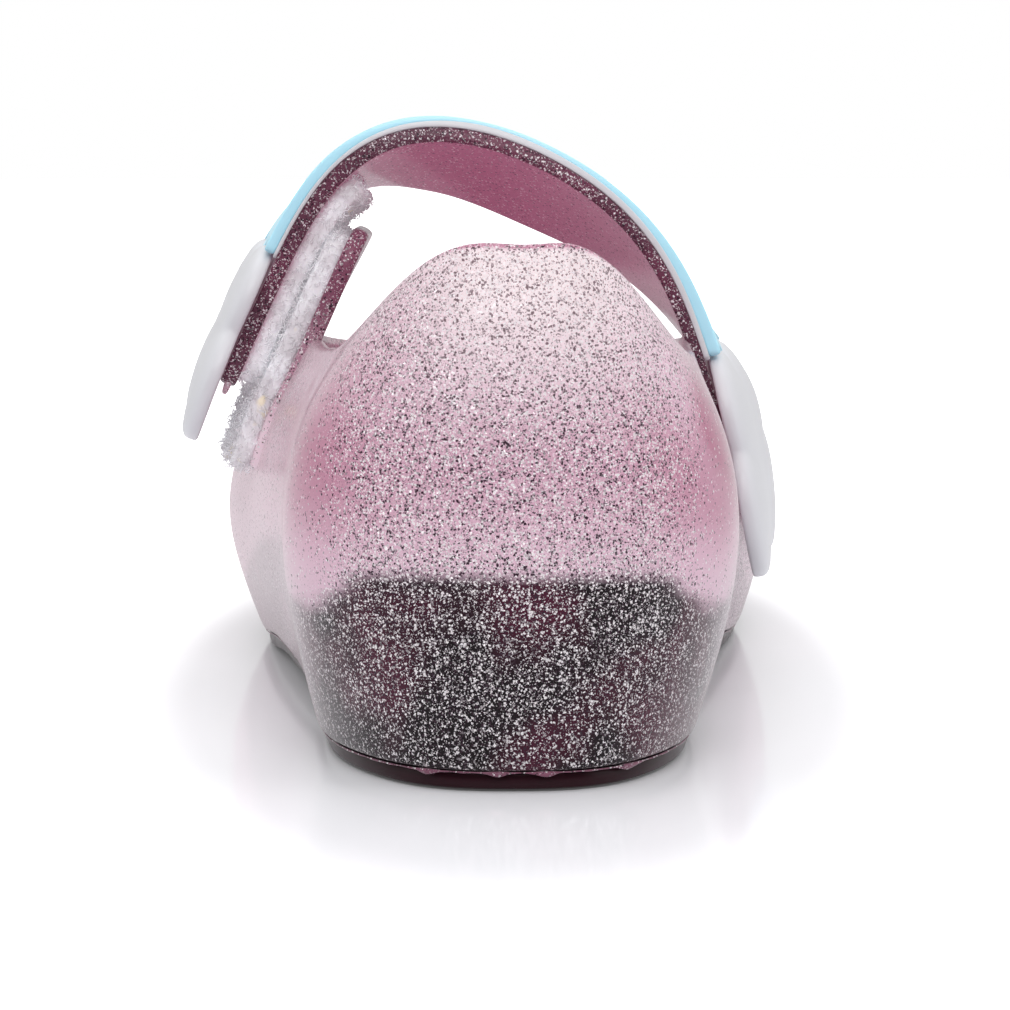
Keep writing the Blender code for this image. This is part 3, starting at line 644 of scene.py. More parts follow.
def add_slab(solid, line, ends, edges, low, high, rounding, tone, steps=(90, 14)):
    """Band from low to high above a strap's face, with rounded edges all round."""
    rear, front = edges
    along, over = steps
    grids = []
    for inset_share, up in EDGE_PROFILE:
        inset = inset_share * rounding
        across = np.linspace(rear + inset, front - inset, over)
        start, stop = ends[0](across, inset), ends[1](across, inset)
        share = np.linspace(0, 1, along)[:, None]
        reach = start[None, :] * (1 - share) + stop[None, :] * share
        across = np.repeat(across[None, :], along, axis=0)
        base, top = (level(reach) if callable(level) else level for level in (low, high))
        grids.append(on_strap(line, reach, across, np.zeros(reach.shape) + base + up * (top - base)))
    edge = [(i, 0) for i in range(along)] + [(along - 1, j) for j in range(1, over)]
    edge += [(i, over - 1) for i in range(along - 2, -1, -1)] + [(0, j) for j in range(over - 2, 0, -1)]
    top = solid.add(grids[0].reshape(-1, 3), tone["outer"])
    bottom = solid.add(grids[-1].reshape(-1, 3), tone["inner"])
    for i in range(along - 1):
        for j in range(over - 1):
            a, b, c, d = i * over + j, (i + 1) * over + j, (i + 1) * over + j + 1, i * over + j + 1
            solid.faces.append((top + a, top + b, top + c, top + d))
            solid.faces.append((bottom + d, bottom + c, bottom + b, bottom + a))
    last = [top + i * over + j for i, j in edge]
    for grid in grids[1:-1]:
        here = solid.add_ring([grid[i, j] for i, j in edge], tone["edge"])
        bridge(solid, here, last)
        last = here
    bridge(solid, [bottom + i * over + j for i, j in edge], last)


# Nib: places along and across from the strap's end, rings as shares of its length and radii
NIB_ROOT, NIB_TIP = (0.0026, 0.0030), (-0.0010, 0.0026)
NIB_RINGS = ((0.0, 0.0006), (0.55, 0.00045), (0.9, 0.00042), (1.0, 0.0002))
NIB_SIDES = 10
NIB_TONE = (0.0, 0.6, 0.3, 0.3)


def add_nib(solid):
    """Moulding nib at the strap's free end."""
    root, tip = (on_strap(STRAP, np.array([STRAP.marks["lateral_end"] + along]), np.array([across]),
                          np.array([-STRAP_THICK / 2]))[0] for along, across in (NIB_ROOT, NIB_TIP))
    axis = tip - root
    axis /= np.linalg.norm(axis)
    side = np.cross(axis, (0, 1, 0))
    side /= np.linalg.norm(side)
    other = np.cross(axis, side)
    turns = np.arange(NIB_SIDES) * math.tau / NIB_SIDES
    rings = [[root + share * (tip - root) + radius * (math.cos(a) * side + math.sin(a) * other) for a in turns]
             for share, radius in NIB_RINGS]
    add_spindle(solid, rings, NIB_TONE)


# End plates

CREASE = 0.0002
FOOT_CORNER = 0.0003
CROWN_CREASE = 0.05
PLATE_SPOKES = 144
# Rings of a plate from its underside's middle to its crown: shares of the outline and of the height
PLATE_RINGS = ((0.35, 0.0), (0.75, 0.0), (0.97, 0.0), (0.993, 0.06), (1.0, 0.25), (1.0, 0.62), (0.993, 0.80),
               (0.975, 0.91), (0.94, 0.975), (0.88, 1.0), (0.76, 1.0), (0.6, 1.0), (0.42, 1.0), (0.22, 1.0))


def soft_max(values, softness):
    top = max(values)
    return top + softness * math.log(sum(math.exp((value - top) / softness) for value in values))


def plate_arm(angle, tall):
    """From a plate's middle to its outline: round lobes with soft creases and a flat foot."""
    heading = np.array([math.sin(angle), math.cos(angle)])
    middle = np.array([PLATE_MIDDLE * tall, 0.0])
    arms = []
    for along, aside, radius in PLATE_LOBES:
        offset = np.array([along * tall, aside * PLATE_WIDTH]) - middle
        ahead = offset @ heading
        inside = (radius * tall) ** 2 - (offset @ offset - ahead ** 2)
        if inside > 0:
            arms.append(ahead + math.sqrt(inside))
    far = soft_max(arms, CREASE)
    if heading[0] < 0:
        far = -soft_max([-far, middle[0] / heading[0]], FOOT_CORNER)
    return middle, heading * far


def puff(along, across, tall):
    domes = []
    for place, aside, radius in PLATE_LOBES:
        squared = (along - place * tall) ** 2 + (across - aside * PLATE_WIDTH) ** 2
        domes.append(1 - squared / (radius * tall) ** 2)
    crown = max(soft_max(domes, CROWN_CREASE), 0.0)
    return PLATE_EDGE + (PLATE_CROWN - PLATE_EDGE) * math.sqrt(min(crown, 1.0))


def add_plate(solid, foot, tall, way):
    arms = [plate_arm(angle, tall) for angle in np.arange(PLATE_SPOKES) * math.tau / PLATE_SPOKES]
    rings = []
    for share, level in PLATE_RINGS:
        ring = []
        for middle, arm in arms:
            along, across = middle + share * arm
            height = GAP + (puff(along, across, tall) - GAP) * level
            reach = np.array([foot + way * along])
            ring.append(on_strap(STRAP, reach, np.array([STRAP_WIDTH / 2 + across]), np.array([height]))[0])
        rings.append(ring)
    add_spindle(solid, rings, PLAIN_TONE, flip=way > 0)


# Soles

# Edge of the outsole: inset from its side and height from its tread
OUTSOLE_EDGE = ((0.0006, 0.0), (0.00018, 0.00018), (0.0, 0.0006), (0.0, 0.0012), (0.00012, 0.0015),
                (0.0004, OUTSOLE_THICK))
# Edge of the footbed lining: inset from the shell and height from the wedge
LINING_EDGE = ((0.0004, GAP), (0.0, GAP + 0.0004), (0.0, FOOTBED_TOP - 0.0007), (0.0002, FOOTBED_TOP - 0.0002),
               (0.0007, FOOTBED_TOP))
OUTSOLE_POINTS = 240
# Section of a groove's cutter: inset from its side and height from the tread
GROOVE_CUT = ((0.0, -0.0008), (0.0, 0.0), (0.0003, GROOVE_DEPTH))
GROOVE_POINTS = 24
PLAN_POINTS = 96
SHARP_EDGE = math.radians(40)


def zip_strips(solid, ring, down):
    """Strips across a ring of point numbers that starts at the heel's back."""
    count = len(ring)
    for i in range(count // 2):
        corners = [ring[i], ring[i + 1], ring[count - i - 1], ring[(count - i) % count]]
        face = list(dict.fromkeys(corners))
        solid.faces.append(tuple(face if down else reversed(face)))


def add_layer(solid, rings):
    last = None
    for ring in rings:
        here = solid.add_ring(ring, PLAIN_TONE)
        if last:
            bridge(solid, here, last)
        else:
            zip_strips(solid, here, True)
        last = here
    zip_strips(solid, last, False)


def sole_plan(count, inset):
    """Outline of the shell's base ring, drawn in by inset."""
    around = np.arange(count) / count
    low = np.zeros(count)
    normals = on_last(LAST_NORMALS, around, low)
    flat = normals[:, :2] / np.linalg.norm(normals[:, :2], axis=1, keepdims=True)
    plan = on_last(LAST, around, low)
    plan[:, :2] -= inset * flat
    return plan


def outsole_rings():
    rings = []
    for inset, up in OUTSOLE_EDGE:
        plan = sole_plan(OUTSOLE_POINTS, OUTSOLE_INSET + inset)
        plan[:, 2] = tread(plan[:, 1]) + up
        rings.append(plan)
    return rings


def groove_cutter(name, middle, reach, y):
    """Bar with round ends that cuts one groove at y into the tread."""
    end = reach - GROOVE_WIDTH / 2
    rings = []
    for inset, up in GROOVE_CUT:
        half = GROOVE_WIDTH / 2 - inset
        ring = []
        for angle in np.arange(GROOVE_POINTS) * math.tau / GROOVE_POINTS:
            side = end if math.cos(angle) >= 0 else -end
            ring.append((middle + side + half * math.cos(angle), y + half * math.sin(angle), tread(y) + up))
        rings.append(ring)
    bar = Solid()
    add_spindle(bar, rings, PLAIN_TONE)
    return bar.object(name, smooth=False)


def cut_grooves(made):
    """Cross grooves with rounded ends, cut into the sole's underside."""
    plan = sole_plan(PLAN_POINTS, OUTSOLE_INSET)
    lateral_side, medial_side = plan[:PLAN_POINTS // 2], plan[:PLAN_POINTS // 2 - 1:-1]
    for block, (along, count) in enumerate(TREAD_BLOCKS):
        for i in range(count):
            y = along * LENGTH - HEEL_SEAT + i * GROOVE_PITCH
            lateral = np.interp(y, lateral_side[:, 1], lateral_side[:, 0])
            medial = np.interp(y, medial_side[:, 1], medial_side[:, 0])
            reach = (medial - lateral) / 2 - GROOVE_MARGIN
            cutter = groove_cutter(f"groove_{block}_{i}", (lateral + medial) / 2, reach, y)
            modifier = made.modifiers.new(cutter.name, "BOOLEAN")
            modifier.operation = "DIFFERENCE"
            modifier.object = cutter
    cutters = [modifier.object for modifier in made.modifiers]
    bake_modifiers(made)
    for cutter in cutters:
        bpy.data.objects.remove(cutter, do_unlink=True)
    made.data.set_sharp_from_angle(angle=SHARP_EDGE)


# Nodes

FLOAT, INT, VECTOR, MATERIAL, GEOMETRY = (
    f"NodeSocket{kind}" for kind in ("Float", "Int", "Vector", "Material", "Geometry"))


def add_node(tree, kind, inputs, **settings):
    """New node with its settings. An input takes a value, or is linked to another node's output."""
    node = tree.nodes.new(kind)
    for label, value in settings.items():
        setattr(node, label, value)
    for label, value in inputs.items():
        socket = node.inputs[label]
        if isinstance(value, bpy.types.NodeSocket):
            tree.links.new(value, socket)
        else:
            socket.default_value = (*value, 1.0) if socket.type == "RGBA" and len(value) == 3 else value
    return node


def new_group(name, inputs, outputs):
    group = bpy.data.node_groups.new(name, "ShaderNodeTree")
    for label, value in inputs.items():
        group.interface.new_socket(label, in_out="INPUT", socket_type=FLOAT).default_value = value
    for label, kind in outputs.items():
        group.interface.new_socket(label, in_out="OUTPUT", socket_type=kind)
    return group, group.nodes.new("NodeGroupInput").outputs, group.nodes.new("NodeGroupOutput").inputs


def math_node(tree, operation, *values, clamp=False):
    inputs = dict(enumerate(values))
    return add_node(tree, "ShaderNodeMath", inputs, operation=operation, use_clamp=clamp).outputs[0]


def vector_node(tree, operation, *values):
    return add_node(tree, "ShaderNodeVectorMath", dict(enumerate(values)), operation=operation).outputs[0]


def mix_colour(tree, share, first, second):
    return add_node(tree, "ShaderNodeMix", {0: share, 6: first, 7: second}, data_type="RGBA").outputs[2]


def map_range(tree, value, low, high, to_low=0.0, to_high=1.0):
    inputs = {"Value": value, "From Min": low, "From Max": high, "To Min": to_low, "To Max": to_high}
    return add_node(tree, "ShaderNodeMapRange", inputs, interpolation_type="SMOOTHSTEP").outputs[0]


def object_place(tree):
    return tree.nodes.new("ShaderNodeTexCoord").outputs["Object"]


def noise(tree, scale, **inputs):
    inputs = {"Vector": object_place(tree), "Scale": scale, **inputs}
    return add_node(tree, "ShaderNodeTexNoise", inputs).outputs


# Shader groups

FLAKE_TEAR_SCALE = 6000.0
FLAKE_TEAR = 0.00022
FLAKE_SPREAD, FLAKE_LEAST = 0.9, 0.55
FLAKE_SOFTNESS = (-0.03, 0.05)


def flake_group():
    """Glitter flakes in clear jelly: each flake has its own size, shade and tilt."""
    group, given, result = new_group(
        "glitter_flakes", {"Density": 2300.0, "Flake Size": 0.36, "Tilt": 0.8, "Share": 1.0},
        {"Mask": FLOAT, "Shade": FLOAT, "Normal": VECTOR})
    ragged = noise(group, FLAKE_TEAR_SCALE, Detail=0.0)["Color"]
    torn = vector_node(group, "MULTIPLY_ADD", ragged, (FLAKE_TEAR,) * 3, object_place(group))
    cells = add_node(group, "ShaderNodeTexVoronoi", {"Vector": torn, "Scale": given["Density"]}).outputs
    spread, shade, draw = add_node(group, "ShaderNodeSeparateColor", {"Color": cells["Color"]}).outputs
    spread = math_node(group, "ADD", math_node(group, "MULTIPLY", spread, FLAKE_SPREAD), FLAKE_LEAST)
    size = math_node(group, "MULTIPLY", given["Flake Size"], spread)
    edge = math_node(group, "SUBTRACT", size, cells["Distance"])
    kept = math_node(group, "LESS_THAN", draw, given["Share"])
    mask = math_node(group, "MULTIPLY", map_range(group, edge, *FLAKE_SOFTNESS), kept)
    centred = vector_node(group, "SUBTRACT", cells["Color"], (0.5, 0.5, 0.5))
    tilt = {0: centred, "Scale": math_node(group, "MULTIPLY", mask, given["Tilt"])}
    tilt = add_node(group, "ShaderNodeVectorMath", tilt, operation="SCALE").outputs[0]
    surface = group.nodes.new("ShaderNodeNewGeometry").outputs["Normal"]
    normal = vector_node(group, "NORMALIZE", vector_node(group, "ADD", surface, tilt))
    for label, value in (("Mask", mask), ("Shade", shade), ("Normal", normal)):
        group.links.new(value, result[label])
    return group


def mottle_group():
    """Uneven gloss and a faint waviness of moulded rubber, foam or jelly."""
    group, given, result = new_group("moulded_mottle", {"Scale": 150.0, "Low": 0.3, "High": 0.5},
                                     {"Roughness": FLOAT, "Height": FLOAT})
    waves = noise(group, given["Scale"], Detail=3.0)[0]
    spread = math_node(group, "SUBTRACT", given["High"], given["Low"])
    rough = math_node(group, "ADD", math_node(group, "MULTIPLY", spread, waves), given["Low"])
    group.links.new(rough, result["Roughness"])
    group.links.new(waves, result["Height"])
    return group


FLAKES = flake_group()
MOTTLE = mottle_group()


# Materials

# Colours of the jelly, of what shows in it, and of its painted highlight and glow
LIGHT_PINK_JELLY, DEEP_PINK_JELLY, HIGHLIGHT_JELLY = (0.90, 0.71, 0.82), (0.49, 0.17, 0.28), (0.97, 0.88, 0.89)
DARK_FOAM, MAROON_FOAM = (0.008, 0.004, 0.006), (0.075, 0.010, 0.030)
DULL_FLAKE, DULL_LIT_FLAKE = (0.045, 0.022, 0.036), (0.26, 0.19, 0.21)
BRIGHT_FLAKE, BRIGHT_DUST = (1.0, 0.96, 0.98), (1.0, 0.94, 0.97)
# Painted glow of light coming through the jelly
GLOW = (0.75, 0.22, 0.42)
FLAKE_METAL = 0.3
SEE_THROUGH = 0.35
BUMP_DEPTH = 0.0002
TAPE_CLEAN, TAPE_DULL, TAPE_GLUE = (0.95, 0.95, 0.98), (0.76, 0.73, 0.76), (0.90, 0.80, 0.60)


def new_material(name, **values):
    made = bpy.data.materials.new(name)
    made.use_nodes = True
    shader = made.node_tree.nodes["Principled BSDF"]
    for label, value in values.items():
        shader.inputs[label.replace("_", " ")].default_value = value
    return made, made.node_tree, shader


def use_group(tree, group, **values):
    inputs = {label.replace("_", " "): value for label, value in values.items()}
    return add_node(tree, "ShaderNodeGroup", inputs, node_tree=group).outputs


def lay_flakes(tree, under, dull, bright, shades, cover, **values):
    """Flakes of one size over a colour, from dull to bright ones."""
    flakes = use_group(tree, FLAKES, **values)
    flake_colour = mix_colour(tree, map_range(tree, flakes["Shade"], *shades), dull, bright)
    mask = math_node(tree, "MULTIPLY", flakes["Mask"], cover)
    return flakes, mix_colour(tree, mask, under, flake_colour)


def glitter_jelly():
    """Translucent jelly full of glitter; the point attribute tone steers what lies behind it and the painted
    light, shade and glow on it.
    """
    made, tree, shader = new_material(
        "glitter_jelly", Roughness=0.35, Coat_Weight=1.0, Coat_Roughness=0.07, Coat_IOR=1.22,
        Specular_IOR_Level=0.15, Sheen_Weight=0.5, Sheen_Roughness=0.35, Sheen_Tint=(1.0, 0.92, 0.95, 1.0),
        Emission_Strength=0.3)
    tone = add_node(tree, "ShaderNodeAttribute", {}, attribute_name="tone").outputs
    core, depth, pale = add_node(tree, "ShaderNodeSeparateColor", {"Color": tone["Color"]}).outputs
    amount = tone["Alpha"]
    jelly = mix_colour(tree, depth, LIGHT_PINK_JELLY, DEEP_PINK_JELLY)
    jelly = mix_colour(tree, pale, jelly, HIGHLIGHT_JELLY)
    stain = mix_colour(tree, map_range(tree, noise(tree, 90.0)[0], 0.45, 0.68), DARK_FOAM, MAROON_FOAM)
    jelly = mix_colour(tree, core, jelly, stain)
    # Dull flakes are lighter under the painted highlight
    dull = mix_colour(tree, pale, DULL_FLAKE, DULL_LIT_FLAKE)
    flakes, colour = lay_flakes(tree, jelly, dull, BRIGHT_FLAKE, (0.35, 0.65), 1.0,
                                Density=4200.0, Flake_Size=0.46, Tilt=1.0, Share=amount)
    _, colour = lay_flakes(tree, colour, dull, BRIGHT_DUST, (0.4, 0.6), 0.55,
                           Density=6500.0, Flake_Size=0.38, Tilt=0.0, Share=amount)
    # Painted glow: the jelly gives off half its colour as emission, and GLOW where the tone's core is below 0
    lit = math_node(tree, "MULTIPLY", core, -1.0, clamp=True)
    painted_glow = mix_colour(tree, lit, mix_colour(tree, 0.5, colour, (0.0, 0.0, 0.0)), GLOW)
    metal = math_node(tree, "MULTIPLY", flakes["Mask"], FLAKE_METAL)
    for label, value in (("Base Color", colour), ("Emission Color", painted_glow), ("Metallic", metal),
                         ("Normal", flakes["Normal"])):
        tree.links.new(value, shader.inputs[label])
    through = add_node(tree, "ShaderNodeBsdfTranslucent", {"Color": colour})
    mixed = add_node(tree, "ShaderNodeMixShader", {0: SEE_THROUGH, 1: shader.outputs[0], 2: through.outputs[0]})
    tree.links.new(mixed.outputs[0], tree.nodes["Material Output"].inputs["Surface"])
    return made


def moulded(name, colour, gloss, scale, strength, **values):
    """Plain moulded rubber, foam or jelly; gloss is its lowest and highest roughness."""
    made, tree, shader = new_material(name, Base_Color=(*colour, 1.0), **values)
    mottle = use_group(tree, MOTTLE, Scale=scale, Low=gloss[0], High=gloss[1])
    tree.links.new(mottle["Roughness"], shader.inputs["Roughness"])
    waves = {"Strength": strength, "Distance": BUMP_DEPTH, "Height": mottle["Height"]}
    tree.links.new(add_node(tree, "ShaderNodeBump", waves).outputs[0], shader.inputs["Normal"])
    return made


def woven_tape():
    """Nylon pile, whitish with a few duller and glue-stained patches, and a faint painted glow that brightens
    it.
    """
    made = moulded("fastening_tape", (0.93, 0.93, 0.95), (0.7, 0.9), 2500.0, 0.6, Sheen_Weight=0.4,
                   Emission_Color=(0.93, 0.93, 0.96, 1.0), Emission_Strength=0.09)
    tree = made.node_tree
    patch = noise(tree, 260.0)[0]
    colour = mix_colour(tree, map_range(tree, patch, 0.42, 0.62), TAPE_DULL, TAPE_CLEAN)
    colour = mix_colour(tree, map_range(tree, patch, 0.34, 0.27), colour, TAPE_GLUE)
    tree.links.new(colour, tree.nodes["Principled BSDF"].inputs["Base Color"])
    return made


SATIN = {"Coat_Weight": 0.25, "Coat_Roughness": 0.2}
JELLY = glitter_jelly()
OUTSOLE_JELLY = moulded("outsole_jelly", (0.020, 0.002, 0.006), (0.25, 0.4), 300.0, 0.15, Coat_Weight=0.1,
                        Coat_Roughness=0.12, Coat_IOR=1.25, Specular_IOR_Level=0.15)
MIDSOLE_FOAM = moulded("midsole_foam", (0.045, 0.03, 0.04), (0.6, 0.8), 900.0, 0.4)
WHITE_RUBBER = moulded("white_rubber", (0.63, 0.63, 0.66), (0.32, 0.5), 120.0, 0.12, **SATIN)
BLUE_RUBBER = moulded("blue_rubber", (0.46, 0.81, 0.95), (0.32, 0.5), 120.0, 0.12, **SATIN)
INSOLE_LINING = moulded("insole_lining", (0.62, 0.38, 0.46), (0.55, 0.75), 1400.0, 0.35)
TAPE = woven_tape()


# Pieces

GLITTERING_EDGE = np.array((0.50, 1.0, 0.0, 0.45))


def strap_lining_tone(points):
    """Painted glow of light through the strap: deep pink at the crest, paler down the medial side."""
    fade = ease(-0.004, 0.024, points[:, 0])
    level = np.ones(len(points))
    return np.stack([0.45 * fade - level, 1.0 - 0.6 * fade, 0.35 * fade, 0.25 * level], axis=1)


def tab_edge_tone(points):
    """Dark and sparkling at the tab's top, like the quarter at its foot."""
    rise = ease(0.034, 0.045, points[:, 2])[:, None]
    return wall_tone(points) * (1 - rise) + GLITTERING_EDGE * rise


JELLY_BAND = {"outer": (0.0, 0.9, 0.0, 0.5), "inner": strap_lining_tone, "edge": (0.74, 1.1, 0.0, 0.55)}
TAB_BAND = {"outer": wall_tone, "inner": (0.0, 0.6, 0.1, 0.6), "edge": tab_edge_tone}
PLAIN = dict.fromkeys(("outer", "inner", "edge"), PLAIN_TONE)


def build_upper():
    solid = Solid()
    add_shell(solid)
    edges = (0.0, STRAP_WIDTH)
    ends = (rounded_end(STRAP.marks["lateral_end"], 1, *edges, STRAP_CORNER),
            rounded_end(STRAP.marks["medial_end"], -1, *edges, STRAP_CORNER))
    add_slab(solid, STRAP, ends, edges, along_band(BAND_HEIGHTS, 3), 0.0, 0.00035, JELLY_BAND)
    edges = (0.0, TAB_WIDTH)
    ends = (rounded_end(TAB.marks["tab_foot"], 1, *edges, STRAP_CORNER),
            rounded_end(TAB.marks["tab_top"], -1, *edges, STRAP_CORNER))
    add_slab(solid, TAB, ends, edges, -TAB_THICK, 0.0, 0.0006, TAB_BAND, steps=(40, 14))
    add_nib(solid)
    made = solid.object("upper_moulding")
    subdivide(made)
    finish(made, "glitter_jelly", JELLY, "upper")


def build_bands():
    ends = (end_at_plate(STRAP.marks["lateral_tip"], LATERAL_PLATE, 1),
            end_at_plate(STRAP.marks["medial_tip"], MEDIAL_PLATE, -1))
    backing = Solid()
    add_slab(backing, STRAP, ends, (0.0, STRAP_WIDTH), 0.0, along_band(BAND_HEIGHTS, 1), 0.00012, PLAIN)
    finish(backing.object("backing_strip"), "white_rubber", WHITE_RUBBER, "strap_backing")
    band = Solid()
    edges = (BAND_INSET, STRAP_WIDTH - BAND_INSET)
    add_slab(band, STRAP, ends, edges, along_band(BAND_HEIGHTS, 1), along_band(BAND_HEIGHTS, 2), 0.0002, PLAIN)
    finish(band.object("blue_strip"), "blue_rubber", BLUE_RUBBER, "strap_band")


def build_plates():
    for name, mark, tall, way in (("lateral", "lateral_tip", LATERAL_PLATE, 1),
                                  ("medial", "medial_tip", MEDIAL_PLATE, -1)):
        solid = Solid()
        add_plate(solid, STRAP.marks[mark], tall, way)
        made = solid.object(f"puffed_plate_{name}")
        finish(made, "white_rubber", WHITE_RUBBER, f"plate_{name}")


def build_soles():
    solid = Solid()
    add_layer(solid, outsole_rings())
    made = solid.object("outsole_moulding")
    cut_grooves(made)
    finish(made, "outsole_jelly", OUTSOLE_JELLY, "outsole")

    solid = Solid()
    add_layer(solid, [ring_inside(SHELL_COLUMNS, WALL + SOLE_FIT + inset, up) for inset, up in LINING_EDGE])
    finish(solid.object("footbed_lining"), "insole_lining", INSOLE_LINING, "insole")
    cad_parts["midsole"].data.materials.clear()
    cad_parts["midsole"].data.materials.append(MIDSOLE_FOAM)


# Geometry Nodes

FLASH_POINTS = 720
FLASH_SIDES = 6
FLASH_INSET = 0.0003
NIB_SPREAD, NIB_SWELL = 0.0009, 2.8
FLASH_DROP, SWELL_DROP = 0.0001, 0.6
FLASH_TONE = (0.55, 0.9, 0.0, 0.3)
FIBRE_STEPS, FIBRE_SIDES = 4, 3
# Bend of a fibre, across and up, as shares of its length
FIBRE_BEND = {"Middle": (0.25, 1.1), "End": (0.75, 0.55)}
FIBRE_TILT = 0.9
FIBRE_SIZES = (0.5, 1.25)
HOOK_SEED, LOOP_SEED = 3, 8
PILE_EDGE = 0.0006
PILE_STEPS = (30, 12)


def new_tree(name, inputs):
    """Tree with named inputs; gives what its nodes read, and each input's identifier."""
    tree = bpy.data.node_groups.new(name, "GeometryNodeTree")
    tree.interface.new_socket("Geometry", in_out="INPUT", socket_type=GEOMETRY)
    sockets = {}
    for label, (kind, value) in inputs.items():
        socket = tree.interface.new_socket(label, in_out="INPUT", socket_type=kind)
        if value is not None:
            socket.default_value = value
        sockets[label] = socket.identifier
    tree.interface.new_socket("Geometry", in_out="OUTPUT", socket_type=GEOMETRY)
    return tree, tree.nodes.new("NodeGroupInput").outputs, sockets


def paint_result(tree, geometry, material):
    painted = add_node(tree, "GeometryNodeSetMaterial", {"Geometry": geometry, "Material": material})
    tree.links.new(painted.outputs[0], tree.nodes.new("NodeGroupOutput").inputs[0])


def seam_tree():
    """Thread of flash along a seam; the point attribute swell is its radius."""
    inputs = {"Sides": (INT, FLASH_SIDES), "Flash material": (MATERIAL, None)}
    tree, given, sockets = new_tree("seam_flash", inputs)
    swell = add_node(tree, "GeometryNodeInputNamedAttribute", {"Name": "swell"}, data_type="FLOAT")
    path = add_node(tree, "GeometryNodeMeshToCurve", {"Mesh": given["Geometry"]})
    section = add_node(tree, "GeometryNodeCurvePrimitiveCircle", {"Radius": 1.0, "Resolution": given["Sides"]})
    thread = add_node(tree, "GeometryNodeCurveToMesh", {
        "Curve": path.outputs[0], "Profile Curve": section.outputs[0], "Scale": swell.outputs["Attribute"]})
    real = add_node(tree, "GeometryNodeRealizeInstances", {0: thread.outputs[0]})
    paint_result(tree, real.outputs[0], given["Flash material"])
    return tree, sockets


def build_flash():
    tree, sockets = seam_tree()
    path = sole_plan(FLASH_POINTS, FLASH_INSET)
    steps = np.arange(FLASH_POINTS)
    swell = FLASH_RADIUS * (1 + 0.35 * np.sin(steps * 0.9) * np.sin(steps * 0.37))
    for nib in FLASH_NIBS:
        swell += NIB_SWELL * FLASH_RADIUS * hump(nib, NIB_SPREAD, path[:, 0]) * (path[:, 1] < 0.0)
    path[:, 2] -= FLASH_DROP + SWELL_DROP * (swell - FLASH_RADIUS)
    mesh = bpy.data.meshes.new("seam_flash")
    mesh.from_pydata(path.tolist(), [(i, (i + 1) % FLASH_POINTS) for i in range(FLASH_POINTS)], [])
    mesh.attributes.new("swell", "FLOAT", "POINT").data.foreach_set("value", swell.astype(np.float32))
    tone = np.tile(np.array(FLASH_TONE, dtype=np.float32), FLASH_POINTS)
    mesh.attributes.new("tone", "FLOAT_COLOR", "POINT").data.foreach_set("color", tone)
    made = bpy.data.objects.new("seam_flash", mesh)
    scene.collection.objects.link(made)
    modifier = made.modifiers.new("thread", "NODES")
    modifier.node_group = tree
    modifier[sockets["Sides"]] = FLASH_SIDES
    modifier[sockets["Flash material"]] = JELLY
    finish(made, "glitter_jelly", JELLY)
    made.data.shade_smooth()


def fuzz_tree():
    """Short curved fibres strewn over a tape."""
    tree, given, sockets = new_tree("tape_fuzz", {
        "Fibres per m2": (FLOAT, 5.0e6), "Fibre length": (FLOAT, 0.0009), "Fibre radius": (FLOAT, 0.00006),
        "Seed": (INT, HOOK_SEED), "Fibre material": (MATERIAL, None)})
    scatter = add_node(tree, "GeometryNodeDistributePointsOnFaces", {
        "Mesh": given["Geometry"], "Density": given["Fibres per m2"], "Seed": given["Seed"]}).outputs
    stem = {"Resolution": FIBRE_STEPS, "Start": (0.0, 0.0, 0.0)}
    for label, (across, up) in FIBRE_BEND.items():
        place = {"X": math_node(tree, "MULTIPLY", given["Fibre length"], across),
                 "Z": math_node(tree, "MULTIPLY", given["Fibre length"], up)}
        stem[label] = add_node(tree, "ShaderNodeCombineXYZ", place).outputs[0]
    stem = add_node(tree, "GeometryNodeCurveQuadraticBezier", stem)
    section = add_node(tree, "GeometryNodeCurvePrimitiveCircle", {
        "Resolution": FIBRE_SIDES, "Radius": given["Fibre radius"]})
    fibre = add_node(tree, "GeometryNodeCurveToMesh", {
        "Curve": stem.outputs[0], "Profile Curve": section.outputs[0]})
    tilt = add_node(tree, "FunctionNodeRandomValue", {}, data_type="FLOAT_VECTOR")
    tilt.inputs[0].default_value = (-FIBRE_TILT, -FIBRE_TILT, 0.0)
    tilt.inputs[1].default_value = (FIBRE_TILT, FIBRE_TILT, math.tau)
    turn = add_node(tree, "FunctionNodeEulerToRotation", {0: tilt.outputs[0]})
    spin = add_node(tree, "FunctionNodeRotateRotation", {0: scatter["Rotation"], 1: turn.outputs[0]},
                    rotation_space="LOCAL")
    size = add_node(tree, "FunctionNodeRandomValue", {2: FIBRE_SIZES[0], 3: FIBRE_SIZES[1]}, data_type="FLOAT")
    place = add_node(tree, "GeometryNodeInstanceOnPoints", {
        "Points": scatter["Points"], "Instance": fibre.outputs[0], "Rotation": spin.outputs[0],
        "Scale": size.outputs[1]})
    real = add_node(tree, "GeometryNodeRealizeInstances", {0: place.outputs[0]})
    both = add_node(tree, "GeometryNodeJoinGeometry", {0: given["Geometry"]})
    tree.links.new(real.outputs[0], both.inputs[0])
    paint_result(tree, both.outputs[0], given["Fibre material"])
    return tree, sockets


